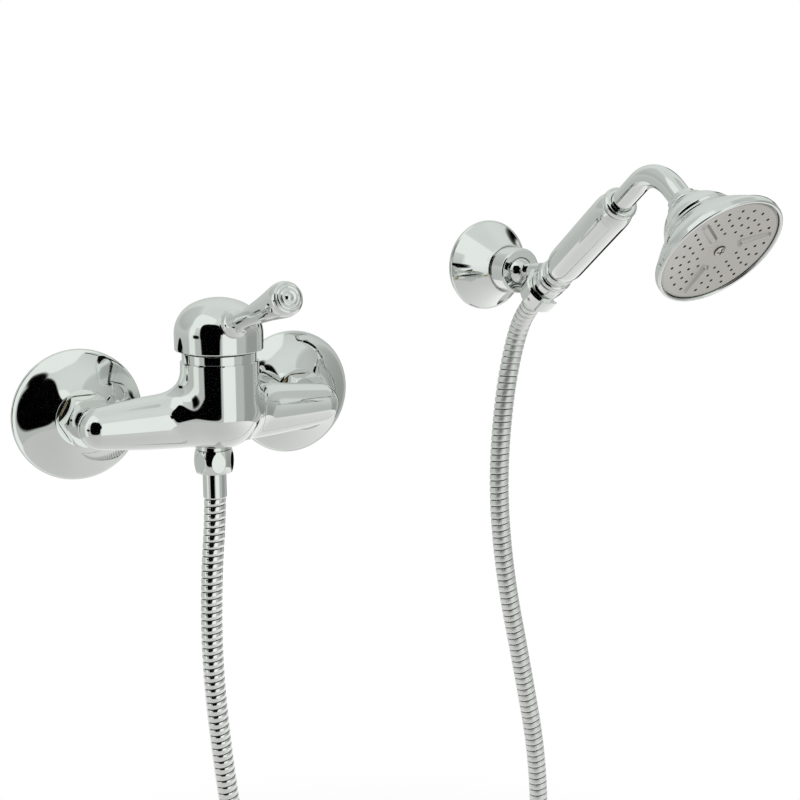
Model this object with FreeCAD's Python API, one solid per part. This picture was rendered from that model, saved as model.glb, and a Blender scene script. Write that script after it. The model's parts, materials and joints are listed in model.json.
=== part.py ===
import FreeCAD, Part
import math
import os

# Vintage exposed shower tap: single lever mixer on two wall inlets, hand shower on a wall
# bracket, and a metal hose between them. Millimetres. X runs along the wall, the wall face is
# Y = 0 with the user at -Y, and Z is up. The origin is on the wall, midway between the inlets.

# Fits and gaps
PLAY = 0.3              # between curved faces that move past each other
SEAT_GAP = 0.1          # between faces of one body that are pushed together
THREAD_GAP = 0.15       # radial, between a male and a female thread
SLIP = 0.15             # radial, between a tube and the ring or sleeve round it
FILM = 0.05             # water film between the two ceramic discs
PIVOT_GAP = 0.05        # radial, pivot pin in the spindle
SWIVEL_GAP = 0.08       # radial, hand shower turning in the conical nut

# Wall inlets
INLET_PITCH = 150.0
WALL_THREAD_R = 10.48   # G 1/2 male
WALL_THREAD_LENGTH = 15.0
THREAD_RELIEF = 0.8     # depth of the plain neck between thread and hexagon
UNION_THREAD_R = 13.2   # G 3/4 male
UNION_REACH = 20.0      # wall face to the union's sealing face
UNION_BORE_R = 7.5
UNION_HEX_AF = 24.0
UNION_HEX_FROM = 3.0
UNION_HEX_LENGTH = 6.0
NUT_AF = 30.0
NUT_FROM = 17.0
NUT_LENGTH = 14.0
NUT_CHAMFER = 1.6
FILTER_THICKNESS = 2.0
FILTER_BORE_R = 6.5
FILTER_DOME = 3.0
TAIL_FLANGE_R = 12.4
TAIL_FLANGE = 2.6
TAIL_R = 9.0

# Wall rosettes
ROSETTE_R = 42.5
ROSETTE_RIM = 2.4
ROSETTE_TOP_R = 18.0
ROSETTE_HEIGHT = 15.0
ROSETTE_HOLLOW = 1.6    # how far the cone sags below a straight line
SHEET = 1.2             # thickness of the drawn brass covers

# Mixer body
ARM_FORWARD = 46.5      # wall face to the arms' axis
ARM_END_R = 13.5
ARM_MIDDLE_R = 18.4
ARM_STATIONS = ((54.0, 15.8), (32.0, 17.5))     # distance out, radius
BALL_CENTRE_OUT = 74.5  # centre of each arm's rounded end
COLUMN_FORWARD = 58.0   # wall face to the cartridge axis
COLUMN_R = 24.6
COLUMN_TOP = 37.2
BELLY_DROP = 18.6
BODY_FILLET = 12.0
CHAMBER_R = 17.6
CHAMBER_FLOOR = 9.0
NUT_BORE_R = 20.0
NUT_BORE_DEPTH = 7.2
WATERWAY_R = 5.0
WATERWAY_DROP = 3.0     # inlet waterways below the arm axis
PORT_R = 3.2
PORT_SPREAD = 8.0
PORT_FORWARD = 52.0
OUTLET_PORT_R = 3.6
OUTLET_PORT_FORWARD = 65.5

# Outlet and check valve
OUTLET_FORWARD = 44.0
OUTLET_BORE_R = 6.0
OUTLET_BORE_TOP = -9.0
BOSS_R = 11.4
BOSS_END = -21.8
NIPPLE_R = 10.3         # G 1/2 male
NIPPLE_TOP = -14.0
NIPPLE_END = -31.0
VALVE_R = 5.6
VALVE_LENGTH = 11.0

# Hose and its ends
HOSE_R = 7.0
HOSE_ROOT_R = 6.2
HOSE_BORE_R = 4.4
HOSE_RIBS = 64
RIB_SHAPE = ((0.0, HOSE_R), (0.6, HOSE_R), (0.8, HOSE_ROOT_R))
HOSE_PLAIN = 14.0       # smooth length at each end
TAIL_PIPE_R = 4.0
TAIL_PIPE_BORE_R = 2.9
END_WASHER = 2.0
END_WASHER_R = 9.6
END_FLANGE_R = 10.0
END_FLANGE = 2.0
HOSE_NUT_R = 12.8
HOSE_NUT_AF = 24.0
HOSE_NUT_TOP = -22.2
HOSE_NUT_END = -37.2
FERRULE_R = 7.6
FERRULE_END = -54.5
CONE_TOP_R = 11.6
CONE_END_R = 8.7
CONE_BAND = 7.0         # straight band at the wide end
CONE_TOP_AT = -11.0     # along the handle, from the lower bead
CONE_END_AT = -41.0

# Lever cap and lever
CAP_R = 27.8
CAP_RIM = 44.8
CAP_TOP = 77.2
CAP_WALL = 1.6
CAP_SHOULDER = 0.755    # shoulder radius as a share of the cap's
CROWN_ANGLE = 25.0      # degrees from the top to where the shoulder starts
HUB_R = 8.0
HUB_END = 53.0
LEVER_LINE_UP = 55.5    # where the lever's axis crosses the cap's axis
LEVER_RISE = 18.0       # degrees above level
LEVER_SEAT = 22.5       # cap axis to the lever's shoulder
LEVER_ROOT_R = 9.0
LEVER_ROOT = 5.5
LEVER_NECK_R = 5.2
LEVER_NECK_AT = 40.0
LEVER_BULB_R = 10.2
LEVER_BULB_AT = 104.0
LEVER_TIP_AT = 111.6
LEVER_STUD_R = 3.0
LEVER_STUD = 12.0
GRUB_R = 2.0
GRUB_UP = 58.0

# Cartridge
CARTRIDGE_R = 17.3
CARTRIDGE_BORE_R = 14.7
CARTRIDGE_BASE = 2.9
CARTRIDGE_LIP_R = 11.3
CARTRIDGE_LIP = 27.0
CARTRIDGE_FLANGE_R = 19.6
CARTRIDGE_FLANGE = 3.0
SEAL_THICKNESS = 1.5
DISC_R = 13.0
DISC_THICKNESS = 3.0
MOVING_DISC_R = 10.2
DRIVE_TOP = 24.0
CARRIER_FLANGE_R = 14.4
CARRIER_R = 11.0
CARRIER_TOP = 36.0
PIVOT_UP = 32.0
PIVOT_PIN_R = 1.5
PIVOT_PIN_LENGTH = 19.0
SPINDLE_SIDE = 7.6
SPINDLE_TOP = 62.0
SPINDLE_NECK_R = 1.8
SPINDLE_BALL_R = 2.5
LEVER_ARM = 9.0         # pivot to the spindle's ball
NUT_RING_R = 19.6
NUT_RING_BORE_R = 14.2
NUT_RING_TOP = 43.0
NECK_RING_R = 23.4
NECK_RING_TOP = 43.8
NECK_RING_TAPER = 3.0   # height of the sloping part that clears the tilting cap

# Joint ranges
LIFT_MAX = 25.0         # degrees the lever lifts

# Wall bracket, heights from the wall
BRACKET_X = 236.0
BRACKET_Z = 79.0
BRACKET_R = 32.6
BRACKET_RIM = 2.2
BRACKET_CONE_R = 17.4
BRACKET_CONE = 29.0
BRACKET_HOLLOW = 0.8
PLATE_R = 26.0
PLATE_THICKNESS = 4.0
PLATE_BOSS_END = 24.0
SCREW_SPACING = 38.0
SCREW_R = 2.2
SCREW_HOLE_R = 2.6
SCREW_HEAD_R = 4.2
SCREW_SHANK_R = 1.9
SCREW_LENGTH = 19.0
COLLAR_R = 16.0
COLLAR_BORE_R = COLLAR_R - 2.1
COLLAR_START = 20.0
COLLAR_END = 44.5
BALL_R = 10.2
BALL_AT = 40.0
ROD_R = 2.5
ROD_RISE = 5.9          # degrees above level
ROD_LENGTH = 25.0
LOCK_NUT_AF = 8.0
LOCK_NUT_AT = 10.3
LOCK_NUT = 3.6

# Hand shower. The handle axis leaves the cradle upwards and towards the user.
LOWER_BEAD = (234.5, -93.5, 84.3)
HANDLE_RISE = 32.3      # degrees above level
HANDLE_TURN = -9.0      # degrees, negative is towards -X
HEAD_ROLL = 8.7         # degrees the head is turned about the handle
BEAD_R = 11.2
BEAD = 5.0
INLET_COLLAR_R = 11.9
INLET_COLLAR_END = -6.0
INLET_NECK_R = 9.6
INLET_THREAD_END = -18.0
SPIGOT_R = 8.0
SPIGOT_END = 9.0
SLEEVE_R = 12.6
SLEEVE_END_R = 10.4
SLEEVE_BORE_R = 8.2
SLEEVE_EASE = 9.0
UPPER_BEAD_AT = 93.0
ARM_R = 7.0
ARM_BORE_R = 5.2
ARM_START = 10.0
BEND_RADIUS = 30.0
BEND = 72.5             # degrees from the handle axis to the spray
AXES_MEET = 140.7
FACE_AT = 74.4          # from where the axes meet to the rim
HEAD_NUT_R = 11.6
HEAD_NUT = 7.0
BELL_NECK_R = 11.8
BELL_HEIGHT = 38.0
BELL_STEP_R = 22.0
BELL_STEP_AT = BELL_HEIGHT * 0.645
BELL_WAIST_R = 21.3
BELL_WAIST_AT = BELL_STEP_AT - 1.6
BELL_FLARE_SAG = 1.0
BELL_DOME_BULGE = 1.1
BELL_RIM_R = 39.5
BELL_RIM = 3.4
BELL_SHOULDER = 2.2     # rounding from the rim's side into the flare
BELL_WALL = 1.6
FACE_R = BELL_RIM_R - 2.5
FACE_BORE_R = FACE_R + 0.4
FACE_THICKNESS = 1.4
FACE_RECESS = 1.2
FACE_DISH = 0.8
FACE_FLAT_R = 10.0
SEAL_RING = 1.2
SPREADER = 1.2
LEDGE_R = FACE_R - 1.5
NOZZLE_R = 0.7
NOZZLE_RING_R = (14.5, 20.0, 25.5, 31.0)
NOZZLE_COUNT = (3, 5, 7, 7)
NOZZLE_TURN = (30.0, 20.0, 15.0, 16.0)          # degrees between the holes of a ring
SECTOR_TURN = (139.0, 19.0, -101.0)             # degrees about the bell's axis
RIB_TURN = (79.0, -41.0, -161.0)
RIB_R = 1.5
RIB_RISE = 0.9
RIB_FROM = 13.0
RIB_TO = 32.0
FACE_SCREW_R = 3.8

# Cradle, along the handle from the lower bead
CRADLE_R = 14.8
CRADLE_FROM = -37.0
CRADLE_TO = -22.0
CRADLE_BOSS_R = 5.0
CRADLE_SLOT = 15.4
SLOT_TURN = 38.0        # degrees about the handle axis
CRADLE_SCREW_R = 1.5
CRADLE_SCREW_DEPTH = 2.8
SCREW_TURN = -70.0      # degrees about the handle axis

# Hose route: corners of the line the hose follows, from the outlet to the hand shower
HOSE_START = -40.0
HOSE_END_AT = -22.2     # along the handle
HOSE_ROUTE = (
    (0, -44, -66), (-3.9, -44, -104), (-5.6, -44, -160), (-1.6, -44, -222), (7.5, -44, -300),
    (19, -44.5, -390), (29, -45, -488), (46, -46, -580), (93, -46.5, -656), (165, -47, -678),
    (228, -46.5, -624), (255, -46, -540), (263, -45, -450), (264.5, -43, -370), (262, -41, -300),
    (248, -38, -225), (232.5, -35.5, -150), (226.5, -33.3, -82), (231, -32, -18), (240.9, -31.6, 29),
)
HOSE_LAST_CORNER_AT = -58.0

os.makedirs("parts", exist_ok=True)
V = FreeCAD.Vector
UP = V(0, 0, 1)
OUT = V(0, -1, 0)       # away from the wall
RIGHT = V(1, 0, 0)


def save(shape, node):
    if shape.ShapeType != "Solid":
        shape = max(shape.Solids, key=lambda solid: solid.Volume)
    shape.exportStep("parts/" + node + ".step")


def frame(at, z_axis, x_axis):
    """Placement with its local Z and X along the given directions."""
    return FreeCAD.Placement(at, FreeCAD.Rotation(x_axis, z_axis.cross(x_axis), z_axis, "ZXY"))


def placed(shape, placement):
    result = shape.copy()
    result.Placement = placement.multiply(result.Placement)
    return result


def spun(outline):
    """Solid of revolution about Z with its faces outward."""
    result = Part.Face(outline).revolve(V(0, 0, 0), UP, 360)
    solid = result.Solids[0] if result.Solids else Part.Solid(result.Shells[0])
    if solid.Volume < 0:
        solid.reverse()
    return solid


def turned(start, *steps):
    """Solid of revolution about Z from (radius, height) points. A pair of points is an arc."""
    edges = []
    here = V(start[0], 0, start[1])
    first = here
    for step in steps:
        if isinstance(step[0], tuple):
            middle, end = V(step[0][0], 0, step[0][1]), V(step[1][0], 0, step[1][1])
            edges.append(Part.Arc(here, middle, end).toShape())
        else:
            end = V(step[0], 0, step[1])
            edges.append(Part.LineSegment(here, end).toShape())
        here = end
    if here.distanceToPoint(first) > 1e-7:
        edges.append(Part.LineSegment(here, first).toShape())
    return spun(Part.Wire(edges))


def drum(radius, low, high, x=0.0, y=0.0):
    return Part.makeCylinder(radius, high - low, V(x, y, low))


def ring(outer, inner, low, high):
    return drum(outer, low, high).cut(drum(inner, low - 1, high + 1))


def rod(radius, start, end):
    return Part.makeCylinder(radius, start.distanceToPoint(end), start, end - start)


def block(low, high):
    return Part.makeBox(high[0] - low[0], high[1] - low[1], high[2] - low[2], V(*low))


def hexagon(across_flats, low, high, turn=0.0):
    corner = across_flats / math.sqrt(3)
    angles = [math.radians(60 * k + turn) for k in range(7)]
    points = [V(corner * math.cos(a), corner * math.sin(a), low) for a in angles]
    return Part.Face(Part.makePolygon(points)).extrude(V(0, 0, high - low))


def sagged(a, b, depth):
    """Middle point of an arc from a to b that bows by depth towards the axis and the base."""
    run, rise = b[0] - a[0], b[1] - a[1]
    length = math.hypot(run, rise)
    return ((a[0] + b[0]) / 2 - abs(rise) / length * depth, (a[1] + b[1]) / 2 - abs(run) / length * depth)


def on_wall(x, z):
    """Frame on the wall with its local Z towards the user and its local Y up."""
    return frame(V(x, 0, z), OUT, RIGHT)


# Wall inlets
INLETS = {"left": -INLET_PITCH / 2, "right": INLET_PITCH / 2}
TAIL_START = UNION_REACH + FILTER_THICKNESS


def rosette():
    """Drawn cover over the wall hole, a shallow hollow cone with a flat top."""
    rim, top = (ROSETTE_R, ROSETTE_RIM), (ROSETTE_TOP_R, ROSETTE_HEIGHT)
    inner_rim, inner_top = (ROSETTE_R - SHEET, ROSETTE_RIM - SHEET), (ROSETTE_TOP_R, ROSETTE_HEIGHT - SHEET)
    hole = UNION_THREAD_R + PLAY
    return turned((ROSETTE_R, 0), rim, (sagged(rim, top, ROSETTE_HOLLOW), top), (hole, ROSETTE_HEIGHT),
                  (hole, ROSETTE_HEIGHT - SHEET), inner_top,
                  (sagged(inner_rim, inner_top, ROSETTE_HOLLOW), inner_rim), (ROSETTE_R - SHEET, 0))


def wall_union():
    """Threaded into the wall at one end, with the nut's thread and a sealing face at the other."""
    hex_end = UNION_HEX_FROM + UNION_HEX_LENGTH
    body = drum(WALL_THREAD_R, -WALL_THREAD_LENGTH, 0).fuse(drum(WALL_THREAD_R - THREAD_RELIEF, -1, UNION_HEX_FROM))
    body = body.fuse(hexagon(UNION_HEX_AF, UNION_HEX_FROM, hex_end)).fuse(drum(UNION_THREAD_R, hex_end, UNION_REACH))
    return body.cut(drum(UNION_BORE_R, -WALL_THREAD_LENGTH - 1, UNION_REACH + 1))


def union_nut():
    """Chamfered hexagon that draws the body's tail onto the union."""
    low, high = NUT_FROM, NUT_FROM + NUT_LENGTH
    corner = NUT_AF / math.sqrt(3)
    rounding = turned((0, low), (corner - NUT_CHAMFER, low), (corner, low + NUT_CHAMFER),
                      (corner, high - NUT_CHAMFER), (corner - NUT_CHAMFER, high), (0, high))
    nut = hexagon(NUT_AF, low, high).common(rounding)
    nut = nut.cut(drum(UNION_THREAD_R + THREAD_GAP, low - 1, TAIL_START + TAIL_FLANGE + SEAT_GAP))
    return nut.cut(drum(TAIL_R + THREAD_GAP, low, high + 1))


def filter_washer():
    """Rubber washer with a domed strainer that reaches back into the union."""
    low, high = UNION_REACH, TAIL_START
    outer = UNION_THREAD_R - 1
    mesh = 0.5
    middle = (low + high) / 2
    tip = middle - FILTER_DOME
    return turned((outer, low), (outer, high), (FILTER_BORE_R, high), (FILTER_BORE_R, middle),
                  (FILTER_BORE_R * 0.6, tip), (0, tip), (0, tip - mesh), (FILTER_BORE_R * 0.6, tip - mesh),
                  (FILTER_BORE_R, middle - mesh), (FILTER_BORE_R, low))


for side, x in INLETS.items():
    at = on_wall(x, 0)
    save(placed(rosette(), at), side + "_rosette")
    save(placed(wall_union(), at), side + "_wall_union")
    save(placed(union_nut(), at), side + "_union_nut")
    save(placed(filter_washer(), at), side + "_filter_washer")

# Mixer body
CAP_AXIS = frame(V(0, -COLUMN_FORWARD, 0), UP, RIGHT)
OUTLET_AXIS = frame(V(0, -OUTLET_FORWARD, 0), UP, RIGHT)


def arms():
    """Both arms as one spindle about X, thickest in the middle, with ball ends."""
    tip = BALL_CENTRE_OUT + ARM_END_R
    profile = [(ARM_END_R, BALL_CENTRE_OUT)] + [(radius, out) for out, radius in ARM_STATIONS]
    profile += [(ARM_MIDDLE_R, 0)] + [(radius, -out) for out, radius in reversed(ARM_STATIONS)]
    profile.append((ARM_END_R, -BALL_CENTRE_OUT))
    corner = ARM_END_R * math.sqrt(0.5)
    far = ((corner, -BALL_CENTRE_OUT - corner), (0, -tip))
    near = ((corner, BALL_CENTRE_OUT + corner), profile[0])
    return placed(turned((0, tip), near, *profile[1:], far), frame(V(0, -ARM_FORWARD, 0), RIGHT, V(0, 1, 0)))


def column():
    """Upright housing of the cartridge with a ball-shaped belly."""
    middle = COLUMN_R - BELLY_DROP
    corner = COLUMN_R * math.sqrt(0.5)
    upright = turned((0, -BELLY_DROP), ((corner, middle - corner), (COLUMN_R, middle)), (COLUMN_R, COLUMN_TOP),
                     (0, COLUMN_TOP))
    return placed(upright, frame(V(0, -COLUMN_FORWARD, 0), UP, OUT))


def shared(edge, solids):
    """True for an edge that lies on the surface of both solids."""
    if edge.Degenerated:
        return False
    points = [Part.Vertex(point) for point in edge.discretize(7)[1:-1]]
    return all(solid.distToShape(point)[0] < 1e-3 for point in points for solid in solids)


def mixer_body():
    """Cast body: arms and column blended together, then bored for the water and the cartridge."""
    spindle, upright = arms(), column()
    body = spindle.fuse(upright)
    body = body.makeFillet(BODY_FILLET, [e for e in body.Edges if shared(e, (spindle, upright))]).Solids[0]
    for x in INLETS.values():
        tail = drum(TAIL_FLANGE_R, TAIL_START, TAIL_START + TAIL_FLANGE).fuse(drum(TAIL_R, TAIL_START, ARM_FORWARD))
        body = body.fuse(placed(tail, on_wall(x, 0)))
    body = body.fuse(placed(drum(BOSS_R, BOSS_END, BOSS_END / 2), OUTLET_AXIS))
    chamber = drum(CHAMBER_R, CHAMBER_FLOOR, COLUMN_TOP + 1)
    chamber = chamber.fuse(drum(NUT_BORE_R, COLUMN_TOP - NUT_BORE_DEPTH, COLUMN_TOP + 1))
    body = body.cut(placed(chamber, CAP_AXIS))
    for x in INLETS.values():
        port = math.copysign(PORT_SPREAD, x)
        inner = V(port, -ARM_FORWARD, -WATERWAY_DROP)
        body = body.cut(rod(WATERWAY_R, V(x, -ARM_FORWARD, -WATERWAY_DROP), inner))
        body = body.cut(rod(WATERWAY_R, V(x, -TAIL_START + 1, 0), V(x, -ARM_FORWARD, 0)))
        body = body.cut(rod(PORT_R, inner, V(port, -PORT_FORWARD, CHAMBER_FLOOR + 1)))
    outlet = drum(OUTLET_BORE_R, BOSS_END - 1, OUTLET_BORE_TOP)
    outlet = outlet.fuse(drum(NIPPLE_R + THREAD_GAP, BOSS_END - 1, NIPPLE_TOP))
    body = body.cut(placed(outlet, OUTLET_AXIS))
    return body.cut(rod(OUTLET_PORT_R, V(0, -OUTLET_FORWARD, OUTLET_BORE_TOP - 2),
                        V(0, -OUTLET_PORT_FORWARD, CHAMBER_FLOOR + 1)))


save(mixer_body(), "mixer_body")

# Cartridge, from the chamber's floor up
FLANGE_FROM = COLUMN_TOP - NUT_BORE_DEPTH
FLANGE_TO = FLANGE_FROM + CARTRIDGE_FLANGE
BASE_FROM = CHAMBER_FLOOR + SEAL_THICKNESS
BASE_TO = BASE_FROM + CARTRIDGE_BASE
FIXED_FROM = BASE_TO
FIXED_TO = FIXED_FROM + DISC_THICKNESS
MOVING_FROM = FIXED_TO + FILM
MOVING_TO = MOVING_FROM + DISC_THICKNESS


def ports(low, high):
    """The two inlet ports and the outlet port as cutters about the cap's axis."""
    ahead = COLUMN_FORWARD - PORT_FORWARD
    cutters = [drum(PORT_R, low, high, side * PORT_SPREAD, ahead) for side in (-1, 1)]
    return cutters + [drum(OUTLET_PORT_R, low, high, 0, COLUMN_FORWARD - OUTLET_PORT_FORWARD)]


def with_ports(shape, low, high):
    for cutter in ports(low - 1, high + 1):
        shape = shape.cut(cutter)
    return shape


def cartridge_housing():
    """Plastic cup with a lip that keeps the swivel carrier in."""
    cup = drum(CARTRIDGE_R, BASE_FROM, FLANGE_TO).fuse(drum(CARTRIDGE_FLANGE_R, FLANGE_FROM, FLANGE_TO))
    cup = cup.cut(drum(CARTRIDGE_BORE_R, BASE_TO, CARTRIDGE_LIP))
    cup = cup.cut(drum(CARTRIDGE_LIP_R, CARTRIDGE_LIP - 1, FLANGE_TO + 1))
    return with_ports(cup, BASE_FROM, BASE_TO)


def moving_disc():
    """Ceramic disc with the mixing hollow in its underside."""
    disc = drum(MOVING_DISC_R, MOVING_FROM, MOVING_TO)
    hollow = drum(4.6, MOVING_FROM - 1, MOVING_FROM + 1.6, 0, -3.2).fuse(
        block((-3, -3.2, MOVING_FROM - 1), (3, 3.4, MOVING_FROM + 1.6)))
    return disc.cut(hollow)


def drive_plate():
    """Plate on the moving disc with the socket for the spindle's ball."""
    plate = drum(MOVING_DISC_R - 0.4, MOVING_TO, DRIVE_TOP)
    socket = drum(SPINDLE_BALL_R + PLAY + 0.1, PIVOT_UP - LEVER_ARM - SPINDLE_BALL_R - PLAY, DRIVE_TOP + 1)
    return plate.cut(socket)


def swivel_carrier():
    """Turret that turns with the lever and carries its pivot pin."""
    carrier = drum(CARRIER_FLANGE_R, DRIVE_TOP + PLAY, CARTRIDGE_LIP - PLAY)
    carrier = carrier.fuse(drum(CARRIER_R, DRIVE_TOP + PLAY, CARRIER_TOP))
    half = SPINDLE_SIDE / 2 + PLAY
    carrier = carrier.cut(block((-half, -7.2, DRIVE_TOP - 1), (half, 7.2, CARRIER_TOP + 1)))
    pin = rod(PIVOT_PIN_R, V(-CARRIER_R - 1, 0, PIVOT_UP), V(CARRIER_R + 1, 0, PIVOT_UP))
    return carrier.cut(pin)


def spindle():
    """Square brass spindle with its pivot hole and the ball that moves the disc."""
    half = SPINDLE_SIDE / 2
    bar = block((-half, -half, PIVOT_UP - 3.5), (half, half, SPINDLE_TOP))
    ball = Part.makeSphere(SPINDLE_BALL_R, V(0, 0, PIVOT_UP - LEVER_ARM))
    bar = bar.fuse(drum(SPINDLE_NECK_R, PIVOT_UP - LEVER_ARM, PIVOT_UP - 3)).fuse(ball)
    return bar.cut(rod(PIVOT_PIN_R + PIVOT_GAP, V(-half - 1, 0, PIVOT_UP), V(half + 1, 0, PIVOT_UP)))


pin_half = PIVOT_PIN_LENGTH / 2
save(placed(with_ports(drum(CARTRIDGE_R - 1.3, CHAMBER_FLOOR, BASE_FROM), CHAMBER_FLOOR, BASE_FROM), CAP_AXIS),
     "port_seal")
save(placed(cartridge_housing(), CAP_AXIS), "cartridge_housing")
save(placed(with_ports(drum(DISC_R, FIXED_FROM, FIXED_TO), FIXED_FROM, FIXED_TO), CAP_AXIS), "fixed_disc")
save(placed(moving_disc(), CAP_AXIS), "moving_disc")
save(placed(drive_plate(), CAP_AXIS), "drive_plate")
save(placed(swivel_carrier(), CAP_AXIS), "swivel_carrier")
save(placed(rod(PIVOT_PIN_R, V(-pin_half, 0, PIVOT_UP), V(pin_half, 0, PIVOT_UP)), CAP_AXIS), "pivot_pin")
save(placed(spindle(), CAP_AXIS), "spindle")
save(placed(ring(NUT_RING_R, NUT_RING_BORE_R, FLANGE_TO, NUT_RING_TOP), CAP_AXIS), "cartridge_nut")


def neck_ring():
    """Bright sleeve screwed over the cartridge nut, seen between body and cap."""
    low, high = COLUMN_TOP + PLAY, NECK_RING_TOP
    inner = NUT_RING_R + THREAD_GAP
    return turned((inner, low), (NECK_RING_R - 0.4, low), (NECK_RING_R, low + 0.4),
                  (NECK_RING_R, high - NECK_RING_TAPER), (NECK_RING_R - 1.8, high), (inner, high))


save(placed(neck_ring(), CAP_AXIS), "neck_ring")

# Lever cap and lever
LEVER_AXIS = frame(V(0, -COLUMN_FORWARD, LEVER_LINE_UP),
                   V(0, -math.cos(math.radians(LEVER_RISE)), math.sin(math.radians(LEVER_RISE))), RIGHT)


def dome(inset, low):
    """Solid with a straight side, a round shoulder and a flatter round crown."""
    shoulder = CAP_R * CAP_SHOULDER
    out = CAP_R - shoulder
    angle = math.radians(CROWN_ANGLE)
    crown = shoulder + out / math.sin(angle)
    centre = CAP_TOP - crown
    level = centre + (crown - shoulder) * math.cos(angle)
    shoulder, crown = shoulder - inset, crown - inset
    meet = (crown * math.sin(angle), centre + crown * math.cos(angle))
    half = (math.pi / 2 - angle) / 2
    bulge = (out + shoulder * math.cos(half), level + shoulder * math.sin(half))
    crest = (crown * math.sin(angle / 2), centre + crown * math.cos(angle / 2))
    return turned((0, low), (CAP_R - inset, low), (CAP_R - inset, level), (bulge, meet),
                  (crest, (0, centre + crown)))


def lever_cap():
    """Domed cap with a square-socketed hub and a boss behind the lever's root."""
    outer = placed(dome(0, CAP_RIM), CAP_AXIS)
    inner = placed(dome(CAP_WALL, CAP_RIM - 1), CAP_AXIS)
    hub = placed(drum(HUB_R, HUB_END, CAP_TOP), CAP_AXIS)
    boss = placed(drum(LEVER_ROOT_R + 1, 0, CAP_R + 5), LEVER_AXIS)
    cap = outer.cut(inner).fuse(hub.common(outer)).fuse(boss.common(outer))
    cap = cap.cut(placed(drum(LEVER_ROOT_R + SLIP, LEVER_SEAT, CAP_R + 20), LEVER_AXIS))
    cap = cap.cut(placed(drum(LEVER_STUD_R + THREAD_GAP, LEVER_SEAT - LEVER_STUD - 1, CAP_R + 20), LEVER_AXIS))
    half = SPINDLE_SIDE / 2 + SEAT_GAP
    cap = cap.cut(placed(block((-half, -half, HUB_END - 8), (half, half, SPINDLE_TOP + SEAT_GAP)), CAP_AXIS))
    screw_hole = rod(GRUB_R + THREAD_GAP, V(0, 0, GRUB_UP), V(0, CAP_R + 5, GRUB_UP))
    return cap.cut(placed(screw_hole, CAP_AXIS))


def lever_arm():
    """Turned lever: root button, waist, long taper and a bulb with a stepped button at the tip."""
    root_end = LEVER_SEAT + LEVER_ROOT
    side = (LEVER_BULB_R - 1.2, LEVER_BULB_AT - 14)
    flank = ((LEVER_BULB_R + LEVER_NECK_R) / 2 - 1.0, (LEVER_BULB_AT - 14 + LEVER_NECK_AT) / 2)
    bulb_end = (LEVER_BULB_R - 1.6, LEVER_TIP_AT - 2.6)
    shoulder = (LEVER_NECK_R + LEVER_ROOT_R) / 2
    waist = (root_end + LEVER_NECK_AT) / 2
    arm = turned((0, LEVER_SEAT), (LEVER_ROOT_R, LEVER_SEAT), (LEVER_ROOT_R, root_end),
                 ((LEVER_ROOT_R - 0.8, root_end + 2.4), (shoulder, waist - 2.0)),
                 ((LEVER_NECK_R + 0.5, waist + 2.0), (LEVER_NECK_R, LEVER_NECK_AT)), (flank, side),
                 ((LEVER_BULB_R, LEVER_BULB_AT), bulb_end),
                 (5.6, LEVER_TIP_AT - 1.6), (5.6, LEVER_TIP_AT - 0.8), (3.4, LEVER_TIP_AT - 0.8),
                 (3.4, LEVER_TIP_AT), (0, LEVER_TIP_AT))
    return arm.fuse(drum(LEVER_STUD_R, LEVER_SEAT - LEVER_STUD, LEVER_SEAT + 1))


save(lever_cap(), "lever_cap")
save(placed(lever_arm(), LEVER_AXIS), "lever_arm")
grub_from = SPINDLE_SIDE / 2 + SEAT_GAP
save(placed(rod(GRUB_R, V(0, grub_from, GRUB_UP), V(0, grub_from + 5, GRUB_UP)), CAP_AXIS), "lever_grub_screw")

# Outlet: nipple, check valve, hose nut, washer and ferrule
OUTLET_WASHER_TO = NIPPLE_END - END_WASHER
OUTLET_FLANGE_TO = OUTLET_WASHER_TO - END_FLANGE


def check_valve():
    """Push-in valve body with a central stem."""
    low = NIPPLE_TOP - 2 - VALVE_LENGTH
    body = ring(VALVE_R, VALVE_R - 1.4, low, low + VALVE_LENGTH)
    spider = block((-VALVE_R + 1, -0.6, low + 3), (VALVE_R - 1, 0.6, low + 5))
    return body.fuse(spider).fuse(drum(1.6, low + 1, low + 7))


def hose_nut():
    """Round nut with six flats, held on the ferrule by its lower lip."""
    low, high = HOSE_NUT_END, HOSE_NUT_TOP
    edge = 0.8
    nut = turned((0, low), (HOSE_NUT_R - edge, low), (HOSE_NUT_R, low + edge), (HOSE_NUT_R, high - edge),
                 (HOSE_NUT_R - edge, high), (0, high))
    flats = hexagon(HOSE_NUT_AF, low + 2.2, high - 2.2, 14.0)
    band = ring(HOSE_NUT_R + 1, 1, low + 2.2, high - 2.2).cut(flats)
    nut = nut.cut(band)
    nut = nut.cut(drum(NIPPLE_R + THREAD_GAP, OUTLET_FLANGE_TO - SEAT_GAP, high + 1))
    return nut.cut(drum(FERRULE_R + PLAY, low - 1, high))


def ferrule():
    """Flanged end of the hose with its outer sleeve and the pipe inside the hose."""
    flange = drum(END_FLANGE_R, OUTLET_FLANGE_TO, OUTLET_WASHER_TO)
    body = flange.fuse(drum(FERRULE_R, FERRULE_END, OUTLET_WASHER_TO))
    body = body.cut(drum(HOSE_R + SLIP, FERRULE_END - 1, HOSE_START + SEAT_GAP))
    body = body.fuse(drum(TAIL_PIPE_R, FERRULE_END + 2, OUTLET_WASHER_TO))
    return body.cut(drum(TAIL_PIPE_BORE_R, FERRULE_END, OUTLET_WASHER_TO + 1))


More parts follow.
